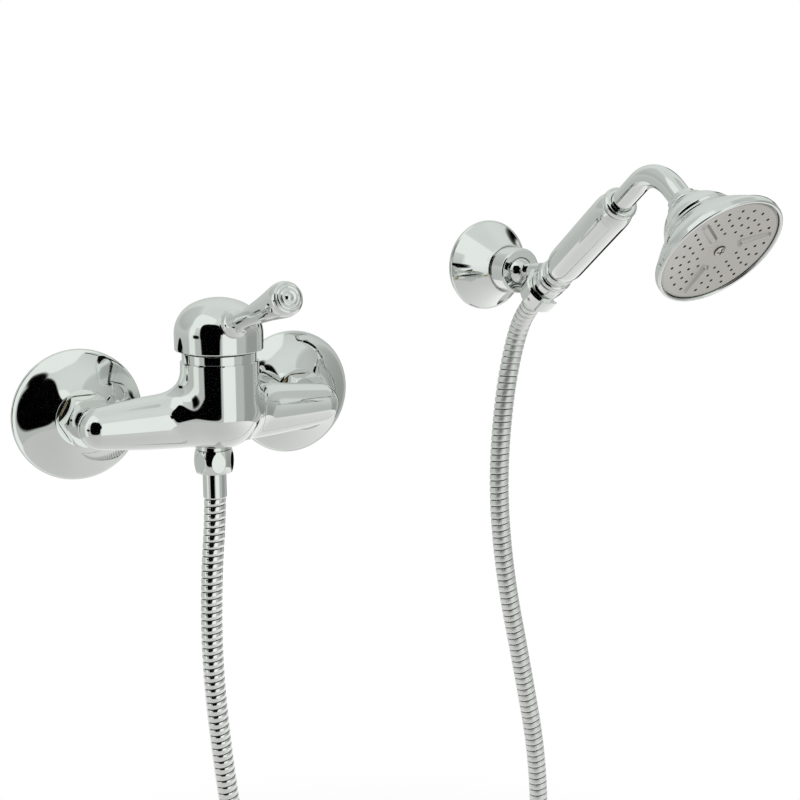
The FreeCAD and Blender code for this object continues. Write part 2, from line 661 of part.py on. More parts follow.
save(placed(ring(NIPPLE_R, OUTLET_BORE_R, NIPPLE_END, NIPPLE_TOP), OUTLET_AXIS), "outlet_nipple")
save(placed(check_valve(), OUTLET_AXIS), "check_valve")
save(placed(hose_nut(), OUTLET_AXIS), "hose_nut")
save(placed(ring(END_WASHER_R, TAIL_PIPE_R, OUTLET_WASHER_TO, NIPPLE_END), OUTLET_AXIS), "hose_washer")
save(placed(ferrule(), OUTLET_AXIS), "hose_ferrule")

# Hand shower frames
rise, turn = math.radians(HANDLE_RISE), math.radians(HANDLE_TURN)
ALONG = V(math.sin(turn) * math.cos(rise), -math.cos(turn) * math.cos(rise), math.sin(rise))
SIDE = ALONG.cross(UP).normalize()
BELOW = ALONG.cross(SIDE).normalize()
if BELOW.z > 0:
    BELOW = BELOW * -1
BELOW = FreeCAD.Rotation(ALONG, HEAD_ROLL).multVec(BELOW)
ORIGIN = V(*LOWER_BEAD)
HANDLE = frame(ORIGIN, ALONG, BELOW)
bend = math.radians(BEND)
SPRAY = (ALONG * math.cos(bend) + BELOW * math.sin(bend)).normalize()
MEET = ORIGIN + ALONG * AXES_MEET
FACE_CENTRE = MEET + SPRAY * FACE_AT
ACROSS = (ALONG - SPRAY * ALONG.dot(SPRAY)).normalize()
HEAD = frame(FACE_CENTRE, SPRAY * -1, ACROSS)


def bead(radius, bore, low, high):
    """Rounded ring with short straight cheeks."""
    cheek = radius - (high - low) * 0.36
    return turned((bore, low), (cheek, low), ((radius, (low + high) / 2), (cheek, high)), (bore, high))


def handset_inlet():
    """Threaded inlet with a collar outside the cradle and a spigot inside the handle."""
    collar = bead(INLET_COLLAR_R, 1, CONE_TOP_AT, INLET_COLLAR_END)
    body = collar.fuse(drum(NIPPLE_R, INLET_THREAD_END, CONE_TOP_AT + 1))
    body = body.fuse(drum(INLET_NECK_R, INLET_COLLAR_END - 1, -BEAD / 2 - SEAT_GAP))
    body = body.fuse(drum(SPIGOT_R, -BEAD / 2 - 1, SPIGOT_END))
    return body.cut(drum(ARM_BORE_R, INLET_THREAD_END - 1, SPIGOT_END + 1))


def handle_sleeve():
    """Long handle sleeve, drawn in slightly at both ends."""
    low, high = BEAD / 2 + SEAT_GAP, UPPER_BEAD_AT - BEAD / 2 - SEAT_GAP
    ease = SLEEVE_EASE
    mid = (SLEEVE_END_R + SLEEVE_R) / 2 + 0.35
    sleeve = turned((SLEEVE_BORE_R, low), (SLEEVE_END_R, low), ((mid, low + ease * 0.42), (SLEEVE_R, low + ease)),
                    (SLEEVE_R, high - ease), ((mid, high - ease * 0.42), (SLEEVE_END_R, high)),
                    (SLEEVE_BORE_R, high))
    return sleeve.cut(drum(SLEEVE_R - SHEET, low + ease, high - ease))


def bent_arm():
    """One tube from inside the handle, round the bend and into the head nut."""
    tangent = BEND_RADIUS * math.tan(bend / 2)
    start = ORIGIN + ALONG * ARM_START
    bend_in, bend_out = MEET - ALONG * tangent, MEET + SPRAY * tangent
    corner = (ALONG * -1 + SPRAY).normalize()
    middle = MEET + corner * (BEND_RADIUS / math.cos(bend / 2) - BEND_RADIUS)
    end = MEET + SPRAY * (FACE_AT - BELL_HEIGHT - HEAD_NUT / 2)
    path = Part.Wire([Part.LineSegment(start, bend_in).toShape(), Part.Arc(bend_in, middle, bend_out).toShape(),
                      Part.LineSegment(bend_out, end).toShape()])
    tubes = []
    for radius in (ARM_R, ARM_BORE_R):
        circle = Part.Wire(Part.makeCircle(radius, start, ALONG))
        tubes.append(path.makePipeShell([circle], True, True))
    return tubes[0].cut(tubes[1])


def head_nut():
    """Collar nut that narrows from the bell to the arm."""
    low, high = BELL_HEIGHT + SEAT_GAP, BELL_HEIGHT + HEAD_NUT
    bore, band = ARM_R + SLIP, low + HEAD_NUT * 0.25
    wide, narrow = (HEAD_NUT_R, band), (ARM_R + 1.7, high - HEAD_NUT * 0.15)
    return turned((bore, low), (HEAD_NUT_R, low), wide, (sagged(wide, narrow, 0.5), narrow), (ARM_R + 1.0, high),
                  (bore, high))


def bell_head():
    """Bell-shaped spray head: thick rim, flare, small step and domed neck, with a ledge inside."""
    neck, step, waist = (BELL_NECK_R, BELL_HEIGHT), (BELL_STEP_R, BELL_STEP_AT + 0.8), (BELL_WAIST_R, BELL_WAIST_AT)
    rim = (BELL_RIM_R, BELL_RIM)
    edge = (BELL_RIM_R - BELL_SHOULDER, BELL_RIM + BELL_SHOULDER * 1.7)
    turn_in = (BELL_RIM_R - BELL_SHOULDER * 0.3, BELL_RIM + BELL_SHOULDER)
    ledge = FACE_RECESS + FACE_THICKNESS + SEAL_RING + SPREADER
    floor = (LEDGE_R - 2.0, ledge)
    inner_waist = (BELL_WAIST_R - BELL_WALL, BELL_WAIST_AT)
    inner_step = (BELL_STEP_R - BELL_WALL, BELL_STEP_AT + 0.4)
    inner_neck = (ARM_BORE_R, BELL_HEIGHT - BELL_WALL)
    outer = turned((0, 0), (BELL_RIM_R - 0.5, 0), (BELL_RIM_R, 0.5), rim, (turn_in, edge),
                   (sagged(edge, waist, BELL_FLARE_SAG), waist), (BELL_STEP_R, BELL_STEP_AT), step,
                   (sagged(step, neck, -BELL_DOME_BULGE), neck), (0, BELL_HEIGHT))
    cavity = turned((0, -1), (FACE_BORE_R, -1), (FACE_BORE_R, ledge), floor,
                    (sagged(floor, inner_waist, BELL_FLARE_SAG), inner_waist), inner_step,
                    (sagged(inner_step, inner_neck, -BELL_DOME_BULGE), inner_neck),
                    (ARM_BORE_R, BELL_HEIGHT + 1), (0, BELL_HEIGHT + 1))
    return outer.cut(cavity)


def face_plate():
    """Dished spray plate with three raised ribs and rings of fine holes."""
    low, high = FACE_RECESS, FACE_RECESS + FACE_THICKNESS
    plate = turned((0, low + FACE_DISH), (FACE_FLAT_R, low + FACE_DISH), (FACE_R - 1.2, low), (FACE_R, low + 0.4),
                   (FACE_R, high), (LEDGE_R - 2, high), (FACE_FLAT_R, high + FACE_DISH), (0, high + FACE_DISH))
    start, end = V(RIB_FROM, 0, low - RIB_RISE + RIB_R), V(RIB_TO, 0, low - RIB_RISE + RIB_R)
    for angle in RIB_TURN:
        rib = rod(RIB_R, start, end).fuse(Part.makeSphere(RIB_R, start)).fuse(Part.makeSphere(RIB_R, end))
        rib.rotate(V(0, 0, 0), UP, angle)
        plate = plate.fuse(rib.common(drum(FACE_R, low - 1, high)))
    holes = [drum(FACE_SCREW_R * 0.55, low - 1, high + 2)]
    for radius, count, step in zip(NOZZLE_RING_R, NOZZLE_COUNT, NOZZLE_TURN):
        for centre in SECTOR_TURN:
            for k in range(count):
                a = math.radians(centre + (k - (count - 1) / 2) * step)
                holes.append(drum(NOZZLE_R, low - 1, high + 2, radius * math.cos(a), radius * math.sin(a)))
    return plate.cut(holes)


def spreader():
    """Inner plate that spreads the water and takes the face screw."""
    low = FACE_RECESS + FACE_THICKNESS + SEAL_RING
    plate = drum(FACE_R, low, low + SPREADER).fuse(drum(4.2, low, low + 9))
    holes = [drum(2.2, low - 1, low + SPREADER + 1, 20 * math.cos(k * math.pi / 6), 20 * math.sin(k * math.pi / 6))
             for k in range(12)]
    return plate.cut(holes).cut(drum(FACE_SCREW_R * 0.5 + THREAD_GAP, low - 1, low + 8))


def face_screw():
    """Cross-slotted screw in the middle of the spray plate."""
    low = FACE_RECESS + FACE_DISH
    head = turned((0, low - 1.4), ((FACE_SCREW_R * 0.72, low - 1.0), (FACE_SCREW_R, low)), (0, low))
    screw = head.fuse(drum(FACE_SCREW_R * 0.5, low - 0.5, low + 9.5))
    for turn_by in (0, 90):
        slot = block((-2.4, -0.45, low - 2), (2.4, 0.45, low - 0.3))
        slot.rotate(V(0, 0, 0), UP, turn_by)
        screw = screw.cut(slot)
    return screw


save(placed(handset_inlet(), HANDLE), "handset_inlet")
save(placed(bead(BEAD_R, SPIGOT_R + SLIP, -BEAD / 2, BEAD / 2), HANDLE), "lower_bead")
save(placed(handle_sleeve(), HANDLE), "handle_sleeve")
save(placed(bead(BEAD_R, ARM_R + SLIP, UPPER_BEAD_AT - BEAD / 2, UPPER_BEAD_AT + BEAD / 2), HANDLE), "upper_bead")
save(bent_arm(), "bent_arm")
save(placed(head_nut(), HEAD), "head_nut")
save(placed(bell_head(), HEAD), "bell_head")
plate_back = FACE_RECESS + FACE_THICKNESS
save(placed(ring(FACE_R, LEDGE_R - 1.5, plate_back, plate_back + SEAL_RING), HEAD), "face_seal")
save(placed(face_plate(), HEAD), "face_plate")
save(placed(spreader(), HEAD), "water_spreader")
save(placed(face_screw(), HEAD), "face_screw")

# Hose nut at the cradle, its washer and the hose tail
WASHER_TO = INLET_THREAD_END - END_WASHER
FLANGE_END = WASHER_TO - END_FLANGE


def cone_nut():
    """Long conical nut that rests in the cradle."""
    low, high = CONE_END_AT, CONE_TOP_AT - SEAT_GAP
    nut = turned((0, low), (CONE_END_R - 0.5, low), (CONE_END_R, low + 0.5), (CONE_TOP_R, high - CONE_BAND),
                 (CONE_TOP_R, high - 0.5), (CONE_TOP_R - 0.5, high), (0, high))
    nut = nut.cut(drum(NIPPLE_R + SWIVEL_GAP, FLANGE_END, high + 1))
    return nut.cut(drum(HOSE_R + PLAY, low - 1, high))


def hose_tail():
    """Flanged pipe in the hose's upper end."""
    body = drum(END_FLANGE_R, FLANGE_END, WASHER_TO).fuse(drum(TAIL_PIPE_R, FLANGE_END - 14, FLANGE_END + 1))
    return body.cut(drum(TAIL_PIPE_BORE_R, FLANGE_END - 15, WASHER_TO + 1))


save(placed(cone_nut(), HANDLE), "cone_nut")
save(placed(ring(END_WASHER_R, TAIL_PIPE_R, WASHER_TO, INLET_THREAD_END - SEAT_GAP), HANDLE), "cone_washer")
save(placed(hose_tail(), HANDLE), "hose_tail")

# Wall bracket
BRACKET = on_wall(BRACKET_X, BRACKET_Z)
tilt = math.radians(ROD_RISE)
ROD_WAY = V(0, -math.cos(tilt), math.sin(tilt))
BALL_CENTRE = V(BRACKET_X, -BALL_AT, BRACKET_Z)
ROD_FRAME = frame(BALL_CENTRE, ROD_WAY, RIGHT)


def wall_plate():
    """Steel plate on the wall with the threaded boss for the collar."""
    plate = drum(PLATE_R, 0, PLATE_THICKNESS).fuse(drum(COLLAR_BORE_R - THREAD_GAP, 0, PLATE_BOSS_END))
    for side in (-1, 1):
        x = side * SCREW_SPACING / 2
        plate = plate.cut(drum(SCREW_HOLE_R, -1, PLATE_THICKNESS + 1, x))
    return plate.cut(drum(7.0, 6.0, PLATE_BOSS_END + 1))


def wall_screw():
    """Screw through the plate into the wall, with a low round head."""
    head = turned((0, 0), (SCREW_HEAD_R, 0), ((SCREW_HEAD_R * 0.74, 1.8), (0, 2.6)))
    screw = drum(SCREW_R, -SCREW_LENGTH, -PLATE_THICKNESS).fuse(drum(SCREW_SHANK_R, -SCREW_LENGTH, 1))
    return screw.fuse(head).cut(block((-3, -0.5, 1.4), (3, 0.5, 4)))


def bracket_cone():
    """Drawn cover over the plate, a steep hollow cone up to the collar."""
    rim, top = (BRACKET_R, BRACKET_RIM), (BRACKET_CONE_R, BRACKET_CONE)
    inner_rim, inner_top = (BRACKET_R - SHEET, BRACKET_RIM - SHEET), (COLLAR_R + SLIP, BRACKET_CONE - 3.0)
    return turned((BRACKET_R, 0), rim, (sagged(rim, top, BRACKET_HOLLOW), top), (COLLAR_R + SLIP, BRACKET_CONE),
                  inner_top, (sagged(inner_rim, inner_top, BRACKET_HOLLOW + 0.4), inner_rim), (BRACKET_R - SHEET, 0))


def bracket_collar():
    """Collar screwed on the boss, with a rounded front lip round the ball."""
    edge = 1.6
    collar = turned((0, COLLAR_START), (COLLAR_R, COLLAR_START), (COLLAR_R, COLLAR_END - edge),
                    ((COLLAR_R - edge * 0.29, COLLAR_END - edge * 0.29), (COLLAR_R - edge, COLLAR_END)),
                    (0, COLLAR_END))
    collar = collar.cut(drum(COLLAR_BORE_R, COLLAR_START - 1, BALL_AT))
    collar = collar.cut(Part.makeSphere(BALL_R + PLAY, V(0, 0, BALL_AT)))
    return collar.cut(rod(CRADLE_SCREW_R + SEAT_GAP, V(-COLLAR_R - 1, 0, 33), V(-COLLAR_BORE_R + 1, 0, 33)))


def ball_seat():
    """Nylon cup behind the ball."""
    seat = drum(COLLAR_BORE_R - PLAY, PLATE_BOSS_END + PLAY, BALL_AT - PLAY)
    return seat.cut(Part.makeSphere(BALL_R + PLAY, V(0, 0, BALL_AT)))


def ball_rod():
    """Ball with the threaded rod that goes into the cradle's boss."""
    return Part.makeSphere(BALL_R, V(0, 0, 0)).fuse(drum(ROD_R, 0, ROD_LENGTH))


def cradle():
    """Open ring with a conical seat for the nut, a slot for the hose and a boss for the rod."""
    def nut_radius(t):
        slope = (CONE_TOP_R - CONE_END_R) / (CONE_TOP_AT - CONE_BAND - CONE_END_AT)
        return CONE_END_R + slope * (t - CONE_END_AT)
    low, high = CRADLE_FROM, CRADLE_TO
    body = turned((0, low), (CRADLE_R - 0.8, low), (CRADLE_R, low + 0.8), (CRADLE_R, high - 0.8),
                  (CRADLE_R - 0.8, high), (0, high))
    body = placed(body, HANDLE)
    boss = placed(drum(CRADLE_BOSS_R, LOCK_NUT_AT + LOCK_NUT + SEAT_GAP, ROD_LENGTH + 6), ROD_FRAME)
    body = body.fuse(boss)
    bore = turned((0, low - 1), (nut_radius(low - 1) + PLAY, low - 1), (nut_radius(high + 1) + PLAY, high + 1),
                  (0, high + 1))
    body = body.cut(placed(bore, HANDLE))
    body = body.cut(placed(drum(INLET_COLLAR_R + PLAY, CRADLE_TO, 0), HANDLE))
    slot = block((0, -CRADLE_SLOT / 2, low - 1), (CRADLE_R + 3, CRADLE_SLOT / 2, high + 1))
    slot.rotate(V(0, 0, 0), UP, SLOT_TURN)
    body = body.cut(placed(slot, HANDLE))
    hole = rod(CRADLE_SCREW_R + SEAT_GAP, V(CRADLE_R - CRADLE_SCREW_DEPTH - SEAT_GAP, 0, (low + high) / 2),
               V(CRADLE_R + 1, 0, (low + high) / 2))
    hole.rotate(V(0, 0, 0), UP, SCREW_TURN)
    body = body.cut(placed(hole, HANDLE))
    return body.cut(placed(drum(ROD_R + SEAT_GAP, 0, ROD_LENGTH + SEAT_GAP), ROD_FRAME))


def cradle_screw():
    """Socket screw through the cradle's side."""
    middle = (CRADLE_FROM + CRADLE_TO) / 2
    depth = CRADLE_SCREW_DEPTH
    screw = rod(CRADLE_SCREW_R, V(CRADLE_R - depth, 0, middle), V(CRADLE_R - 0.2, 0, middle))
    screw = screw.cut(rod(0.7, V(CRADLE_R - 1.4, 0, middle), V(CRADLE_R + 1, 0, middle)))
    screw.rotate(V(0, 0, 0), UP, SCREW_TURN)
    return screw


save(placed(wall_plate(), BRACKET), "bracket_plate")
for side, x in (("left", -SCREW_SPACING / 2), ("right", SCREW_SPACING / 2)):
    at = frame(V(BRACKET_X + x, -PLATE_THICKNESS, BRACKET_Z), OUT, RIGHT)
    save(placed(wall_screw(), at), side + "_bracket_screw")
save(placed(bracket_cone(), BRACKET), "bracket_cone")
save(placed(bracket_collar(), BRACKET), "bracket_collar")
save(placed(rod(CRADLE_SCREW_R, V(-COLLAR_R + 0.2, 0, 33), V(-COLLAR_BORE_R - 0.1, 0, 33)), BRACKET), "collar_screw")
save(placed(ball_seat(), BRACKET), "ball_seat")
save(placed(ball_rod(), ROD_FRAME), "ball_rod")
lock = hexagon(LOCK_NUT_AF, LOCK_NUT_AT, LOCK_NUT_AT + LOCK_NUT).cut(drum(ROD_R + SEAT_GAP, 0, 30))
save(placed(lock, ROD_FRAME), "lock_nut")
save(cradle(), "cradle")
save(placed(cradle_screw(), HANDLE), "cradle_screw")


# Hose
def hose_route():
    """Corner points of the whole route, from the outlet ferrule to the conical nut."""
    first = V(0, -OUTLET_FORWARD, HOSE_START)
    corners = [V(*point) for point in HOSE_ROUTE]
    return [first] + corners + [ORIGIN + ALONG * HOSE_LAST_CORNER_AT, ORIGIN + ALONG * HOSE_END_AT]


def rounded(corners):
    """Straight runs and tangent arcs as a list of (length, edge)."""
    edges = []
    here = corners[0]
    for before, corner, after in zip(corners, corners[1:], corners[2:]):
        a, b = corner - before, after - corner
        half = a.getAngle(b) / 2
        cut = 0.45 * min(a.Length, b.Length)
        radius = cut / math.tan(half)
        a.normalize()
        b.normalize()
        start, end = corner - a * cut, corner + b * cut
        middle = corner + (b - a).normalize() * (radius / math.cos(half) - radius)
        edges += [Part.LineSegment(here, start).toShape(), Part.Arc(start, middle, end).toShape()]
        here = end
    return edges + [Part.LineSegment(here, corners[-1]).toShape()]


def sample(edges, distance):
    """Point and direction at a distance along the edges."""
    for edge in edges:
        if distance <= edge.Length or edge is edges[-1]:
            u = edge.getParameterByLength(min(distance, edge.Length))
            return edge.valueAt(u), edge.tangentAt(u)
        distance -= edge.Length


def ring_wire(radius, point, way, steady):
    """Circle across the route whose seam keeps to one side."""
    seam = (steady - way * steady.dot(way)).normalize()
    circle = Part.Circle()
    circle.Radius = radius
    shape = Part.Wire(circle.toShape())
    shape.Placement = frame(point, way, seam)
    return shape


def hose():
    """Ribbed metal hose with plain ends and a bore."""
    edges = rounded(hose_route())
    total = sum(edge.Length for edge in edges)
    pitch = (total - 2 * HOSE_PLAIN) / HOSE_RIBS
    steps = [(0.0, HOSE_R)]
    for k in range(HOSE_RIBS):
        start = HOSE_PLAIN + k * pitch
        steps += [(start + share * pitch, radius) for share, radius in RIB_SHAPE]
    steps += [(total - HOSE_PLAIN, HOSE_R), (total, HOSE_R)]
    outer, inner = [], []
    for distance, radius in steps:
        point, way = sample(edges, distance)
        outer.append(ring_wire(radius, point, way, V(0, -1, 0)))
    marks = [0.0]
    for edge in edges:
        marks += [marks[-1] + edge.Length * k / 4 for k in (1, 2, 3, 4)] if edge.Curve.TypeId == "Part::GeomCircle" \
            else [marks[-1] + edge.Length]
    for distance in marks:
        point, way = sample(edges, distance)
        inner.append(ring_wire(HOSE_BORE_R, point, way, V(0, -1, 0)))
    print("hose length", round(total, 1))
    return Part.makeLoft(outer, True, True).cut(Part.makeLoft(inner, True, True))


save(hose(), "shower_hose")
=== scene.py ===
import json
import math

import numpy as np

import bmesh
import bpy
from mathutils import Matrix, Vector


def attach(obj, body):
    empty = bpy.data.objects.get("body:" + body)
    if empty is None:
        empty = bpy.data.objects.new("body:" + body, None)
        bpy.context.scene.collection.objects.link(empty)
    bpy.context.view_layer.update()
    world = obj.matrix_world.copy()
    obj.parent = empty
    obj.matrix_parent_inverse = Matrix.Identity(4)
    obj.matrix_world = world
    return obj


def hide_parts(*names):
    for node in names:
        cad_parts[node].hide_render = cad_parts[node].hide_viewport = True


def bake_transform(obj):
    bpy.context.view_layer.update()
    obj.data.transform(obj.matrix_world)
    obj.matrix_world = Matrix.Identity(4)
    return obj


# Vintage exposed shower tap with its hand shower, wall bracket and metal hose.
# Sizes are millimetres in the row frame and become metres in metres().

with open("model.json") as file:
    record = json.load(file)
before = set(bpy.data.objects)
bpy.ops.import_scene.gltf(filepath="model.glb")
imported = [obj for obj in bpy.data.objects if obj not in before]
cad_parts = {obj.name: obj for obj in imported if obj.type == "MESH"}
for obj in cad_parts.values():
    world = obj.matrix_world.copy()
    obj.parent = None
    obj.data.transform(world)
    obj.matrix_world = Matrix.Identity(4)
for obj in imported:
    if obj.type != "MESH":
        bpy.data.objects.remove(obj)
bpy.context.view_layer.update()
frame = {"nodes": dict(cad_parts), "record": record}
NODES = frame["nodes"]
BODY_OF = {node: body for body, nodes in frame["record"]["behaviour"]["bodies"].items() for node in nodes}
SLOT_OF = {part["node"]: part["material_slot"] for part in frame["record"]["subparts"]}
MM = 0.001


def metres(point):
    return Vector(point) * MM


def add_object(name, data):
    """A new object in the scene."""
    made = bpy.data.objects.new(name, data)
    bpy.context.scene.collection.objects.link(made)
    return made


# Camera: the photograph's viewing angle
CAMERA_AT = (-319.4, -851.8, 190.9)
CAMERA_TURN = 29.5      # degrees from straight ahead, towards +X
CAMERA_DROP = 11.9      # degrees below level
LENS = 61.98
SENSOR = 36.0


def add_camera():
    turn, drop = math.radians(CAMERA_TURN), math.radians(CAMERA_DROP)
    ahead = Vector((math.sin(turn) * math.cos(drop), math.cos(turn) * math.cos(drop), -math.sin(drop)))
    right = Vector((math.cos(turn), -math.sin(turn), 0))
    over = right.cross(ahead)
    data = bpy.data.cameras.new("camera")
    data.lens = LENS
    data.sensor_width = SENSOR
    data.clip_end = 50
    camera = add_object("camera", data)
    camera.matrix_world = Matrix.Translation(metres(CAMERA_AT)) @ Matrix(
        (right, over, -ahead)).transposed().to_4x4()
    bpy.context.scene.camera = camera


add_camera()


# Shader maths
SOFTEST = 0.95          # widest spread of a panel's soft edge
IN_FRONT = 0.02         # directions of less depth are beside or behind a panel


class Value:
    """A shader socket with the usual operators."""

    def __init__(self, tree, socket):
        self.tree = tree
        self.socket = socket

    def math(self, operation, *others):
        node = self.tree.nodes.new("ShaderNodeMath")
        node.operation = operation
        for slot, item in zip(node.inputs, (self,) + others):
            join(self.tree, item, slot)
        return Value(self.tree, node.outputs[0])

    def __add__(self, other):
        return self.math("ADD", other)

    def __radd__(self, other):
        return self.math("ADD", other)

    def __sub__(self, other):
        return self.math("SUBTRACT", other)

    def __rsub__(self, other):
        return (self * -1) + other

    def __mul__(self, other):
        return self.math("MULTIPLY", other)

    def __truediv__(self, other):
        return self.math("DIVIDE", other)

    def step(self, low, high):
        """Smooth ramp from 0 at low to 1 at high."""
        node = self.tree.nodes.new("ShaderNodeMapRange")
        node.interpolation_type = "SMOOTHSTEP"
        join(self.tree, self, node.inputs["Value"])
        node.inputs["From Min"].default_value = low
        node.inputs["From Max"].default_value = high
        return Value(self.tree, node.outputs["Result"])


def join(tree, item, socket):
    if isinstance(item, Value):
        tree.links.new(item.socket, socket)
    else:
        socket.default_value = item


class Finish:
    """A material or world tree with one way of adding nodes."""

    def __init__(self, owner):
        owner.use_nodes = True
        self.tree = owner.node_tree
        self.tree.nodes.clear()

    def node(self, kind, settings=None, **sockets):
        node = self.tree.nodes.new(kind)
        for name, value in (settings or {}).items():
            setattr(node, name, value)
        for name, value in sockets.items():
            join(self.tree, value, node.inputs[name.replace("_", " ")])
        return node

    def out(self, node, name=0):
        return Value(self.tree, node.outputs[name])

    def coordinates(self, kind="Object"):
        return self.out(self.node("ShaderNodeTexCoord"), kind)

    def noise(self, where, scale, detail=2.0, rough=0.5):
        node = self.node("ShaderNodeTexNoise", Vector=where, Scale=scale, Detail=detail, Roughness=rough)
        return self.out(node, "Fac")

    def blend(self, factor, first, second):
        node = self.node("ShaderNodeMix", {"data_type": "RGBA"})
        join(self.tree, factor, node.inputs["Factor"])
        join(self.tree, first, node.inputs[6])
        join(self.tree, second, node.inputs[7])
        return self.out(node, 2)

    def bump(self, height, strength, distance):
        node = self.node("ShaderNodeBump", Height=height, Strength=strength, Distance=distance)
        return self.out(node, "Normal")

    def dot(self, vector, direction):
        node = self.node("ShaderNodeVectorMath", {"operation": "DOT_PRODUCT"})
        join(self.tree, vector, node.inputs[0])
        node.inputs[1].default_value = direction
        return self.out(node, "Value")

    def length(self, vector):
        node = self.node("ShaderNodeVectorMath", {"operation": "LENGTH"})
        join(self.tree, vector, node.inputs[0])
        return self.out(node, "Value")

    def panel(self, way, turn, lift, wide, tall, edge):
        """1 inside a rectangle of directions with round corners, fading to 0 across its edge."""
        turn, lift = math.radians(turn), math.radians(lift)
        ahead = (-math.sin(turn) * math.cos(lift), -math.cos(turn) * math.cos(lift), math.sin(lift))
        side = Vector((math.cos(turn), -math.sin(turn), 0))
        depth = self.dot(way, ahead)
        limit, reach = math.tan(math.radians(wide)), math.tan(math.radians(tall))
        across = self.dot(way, side) / depth / limit
        rise = self.dot(way, side.cross(Vector(ahead))) / depth / reach
        across, rise = across * across, rise * rise
        # Fourth powers give round corners, and at the edge they grow four times as fast as the distance
        off = across * across + rise * rise
        soft = min(SOFTEST, 4 * edge / min(limit, reach))
        return (1 - off.step(1 - soft, 1 + soft)) * depth.step(0.0, IN_FRONT)

    def mix(self, factor, first, second):
        """Mix two shaders."""
        mixed = self.node("ShaderNodeMixShader")
        join(self.tree, factor, mixed.inputs[0])
        self.tree.links.new(first.outputs[0], mixed.inputs[1])
        self.tree.links.new(second.outputs[0], mixed.inputs[2])
        return mixed

    def surface(self, kind, shader):
        """Make a shader the tree's output."""
        target = self.node("ShaderNodeOutput" + kind)
        self.tree.links.new(shader.outputs[0], target.inputs["Surface"])


# Finishes: texture scales in features per metre, depths and spans along X in metres
WATER_MARKS = 420.0
CLOUDS = 60.0
RIPPLES = 90.0
RIPPLE_DEPTH = 0.0004
SATIN_GRAIN = 2400.0
SATIN_DEPTH = 0.0002
STAINS = 70.0
MOTTLES = 240.0
MOULD_GRAIN = 3200.0
MOULD_DEPTH = 0.0001
MARK_EDGE = (0.56, 0.74)
WORN_SPAN = (0.02, 0.16)
# Span along X over which satin steel darkens with painted shade
SHADED_SPAN = (0.15, 0.24)
MATERIALS = {}


def material(name, slot_key):
    """A new material with its tree and its surface shader, kept under its slot."""
    made = bpy.data.materials.new(name)
    finish = Finish(made)
    shader = finish.node("ShaderNodeBsdfPrincipled")
    finish.surface("Material", shader)
    MATERIALS[slot_key] = made
    return finish, shader


def feed(finish, shader, **sockets):
    for name, value in sockets.items():
        join(finish.tree, value, shader.inputs[name.replace("_", " ")])


def plating(name, slot_key, colour, dull, rough, wave, worn=0.0):
    """Bright plating with faint water marks and a slow polishing wave, duller towards the hand shower."""
    finish, shader = material(name, slot_key)
    where = finish.coordinates()
    marks = finish.noise(where, WATER_MARKS, 3.0, 0.6).step(*MARK_EDGE)
    cloud = finish.noise(where, CLOUDS, 2.0)
    wear = finish.dot(where, (1, 0, 0)).step(*WORN_SPAN) * worn
    ripple = finish.noise(where, RIPPLES, 1.0)
    tone = cloud * 0.6 + marks * 0.2
    feed(finish, shader, Metallic=1.0, Base_Color=finish.blend(tone, colour, dull),
         Roughness=cloud * 0.03 + marks * 0.05 + rough + wear,
         Normal=finish.bump(ripple, wave, RIPPLE_DEPTH))


def satin(name, slot_key, colour, dark, rough=0.26, shade=0.0):
    """Satin steel with a fine random grain, and painted shade that darkens it towards the right where a
    shade is given.
    """
    finish, shader = material(name, slot_key)
    where = finish.coordinates()
    grain = finish.noise(where, SATIN_GRAIN, 2.0, 0.7)
    stain = finish.noise(where, STAINS, 3.0)
    # Painted shade: the steel darkens towards +X over SHADED_SPAN, as much as the given shade
    right = finish.dot(where, (1, 0, 0)).step(*SHADED_SPAN) * shade
    tone = grain * 0.6 + stain * 0.3 + right
    feed(finish, shader, Metallic=1.0, Base_Color=finish.blend(tone, colour, dark),
         Roughness=grain * 0.16 + rough, Normal=finish.bump(grain, 0.12, SATIN_DEPTH))


def moulded(name, slot_key, colour, dark, rough):
    """Moulded plastic, rubber or ceramic with a fine grain and slight mottling."""
    finish, shader = material(name, slot_key)
    where = finish.coordinates()
    mottle = finish.noise(where, MOTTLES, 3.0)
    grain = finish.noise(where, MOULD_GRAIN, 2.0)
    feed(finish, shader, Base_Color=finish.blend(mottle, colour, dark), Roughness=grain * 0.15 + rough,
         Normal=finish.bump(grain, 0.15, MOULD_DEPTH))


plating("bright chrome plating", "chrome", (0.80, 0.815, 0.80, 1), (0.74, 0.755, 0.74, 1), 0.025, 0.007)
plating("polished hose strip", "hose_metal", (0.88, 0.89, 0.87, 1), (0.78, 0.79, 0.77, 1), 0.08, 0.02, 0.36)
# The spray plate's steel takes painted shade towards the right (0.7)
satin("satin spray plate steel", "satin_steel", (0.72, 0.71, 0.675, 1), (0.50, 0.485, 0.455, 1), 0.26, 0.7)
satin("bright zinc steel", "steel", (0.70, 0.67, 0.62, 1), (0.50, 0.48, 0.45, 1), 0.07)
satin("machined brass", "brass", (0.79, 0.62, 0.33, 1), (0.66, 0.48, 0.24, 1))
moulded("black rubber", "rubber", (0.018, 0.018, 0.018, 1), (0.035, 0.034, 0.033, 1), 0.55)
moulded("lapped ceramic", "ceramic", (0.93, 0.92, 0.88, 1), (0.88, 0.87, 0.82, 1), 0.12)
moulded("cartridge plastic", "cartridge_plastic", (0.80, 0.80, 0.77, 1), (0.70, 0.70, 0.67, 1), 0.38)
moulded("bearing nylon", "nylon", (0.88, 0.87, 0.82, 1), (0.80, 0.79, 0.74, 1), 0.35)
# Painted shade: this dark finish stands for the shadow in the hose's grooves and the screw's slot and foot
moulded("shadow of a groove", "groove", (0.012, 0.013, 0.013, 1), (0.02, 0.02, 0.02, 1), 0.5)


# Making pieces
ON_AXIS = 1e-6          # smaller radii, in millimetres, are points of the axis
WELD = 1e-5             # points nearer than this are one point
CAD_WELD = 2e-6         # the same for CAD meshes, in metres
SLIVER = 1e-6           # shortest edge of a CAD mesh, in metres


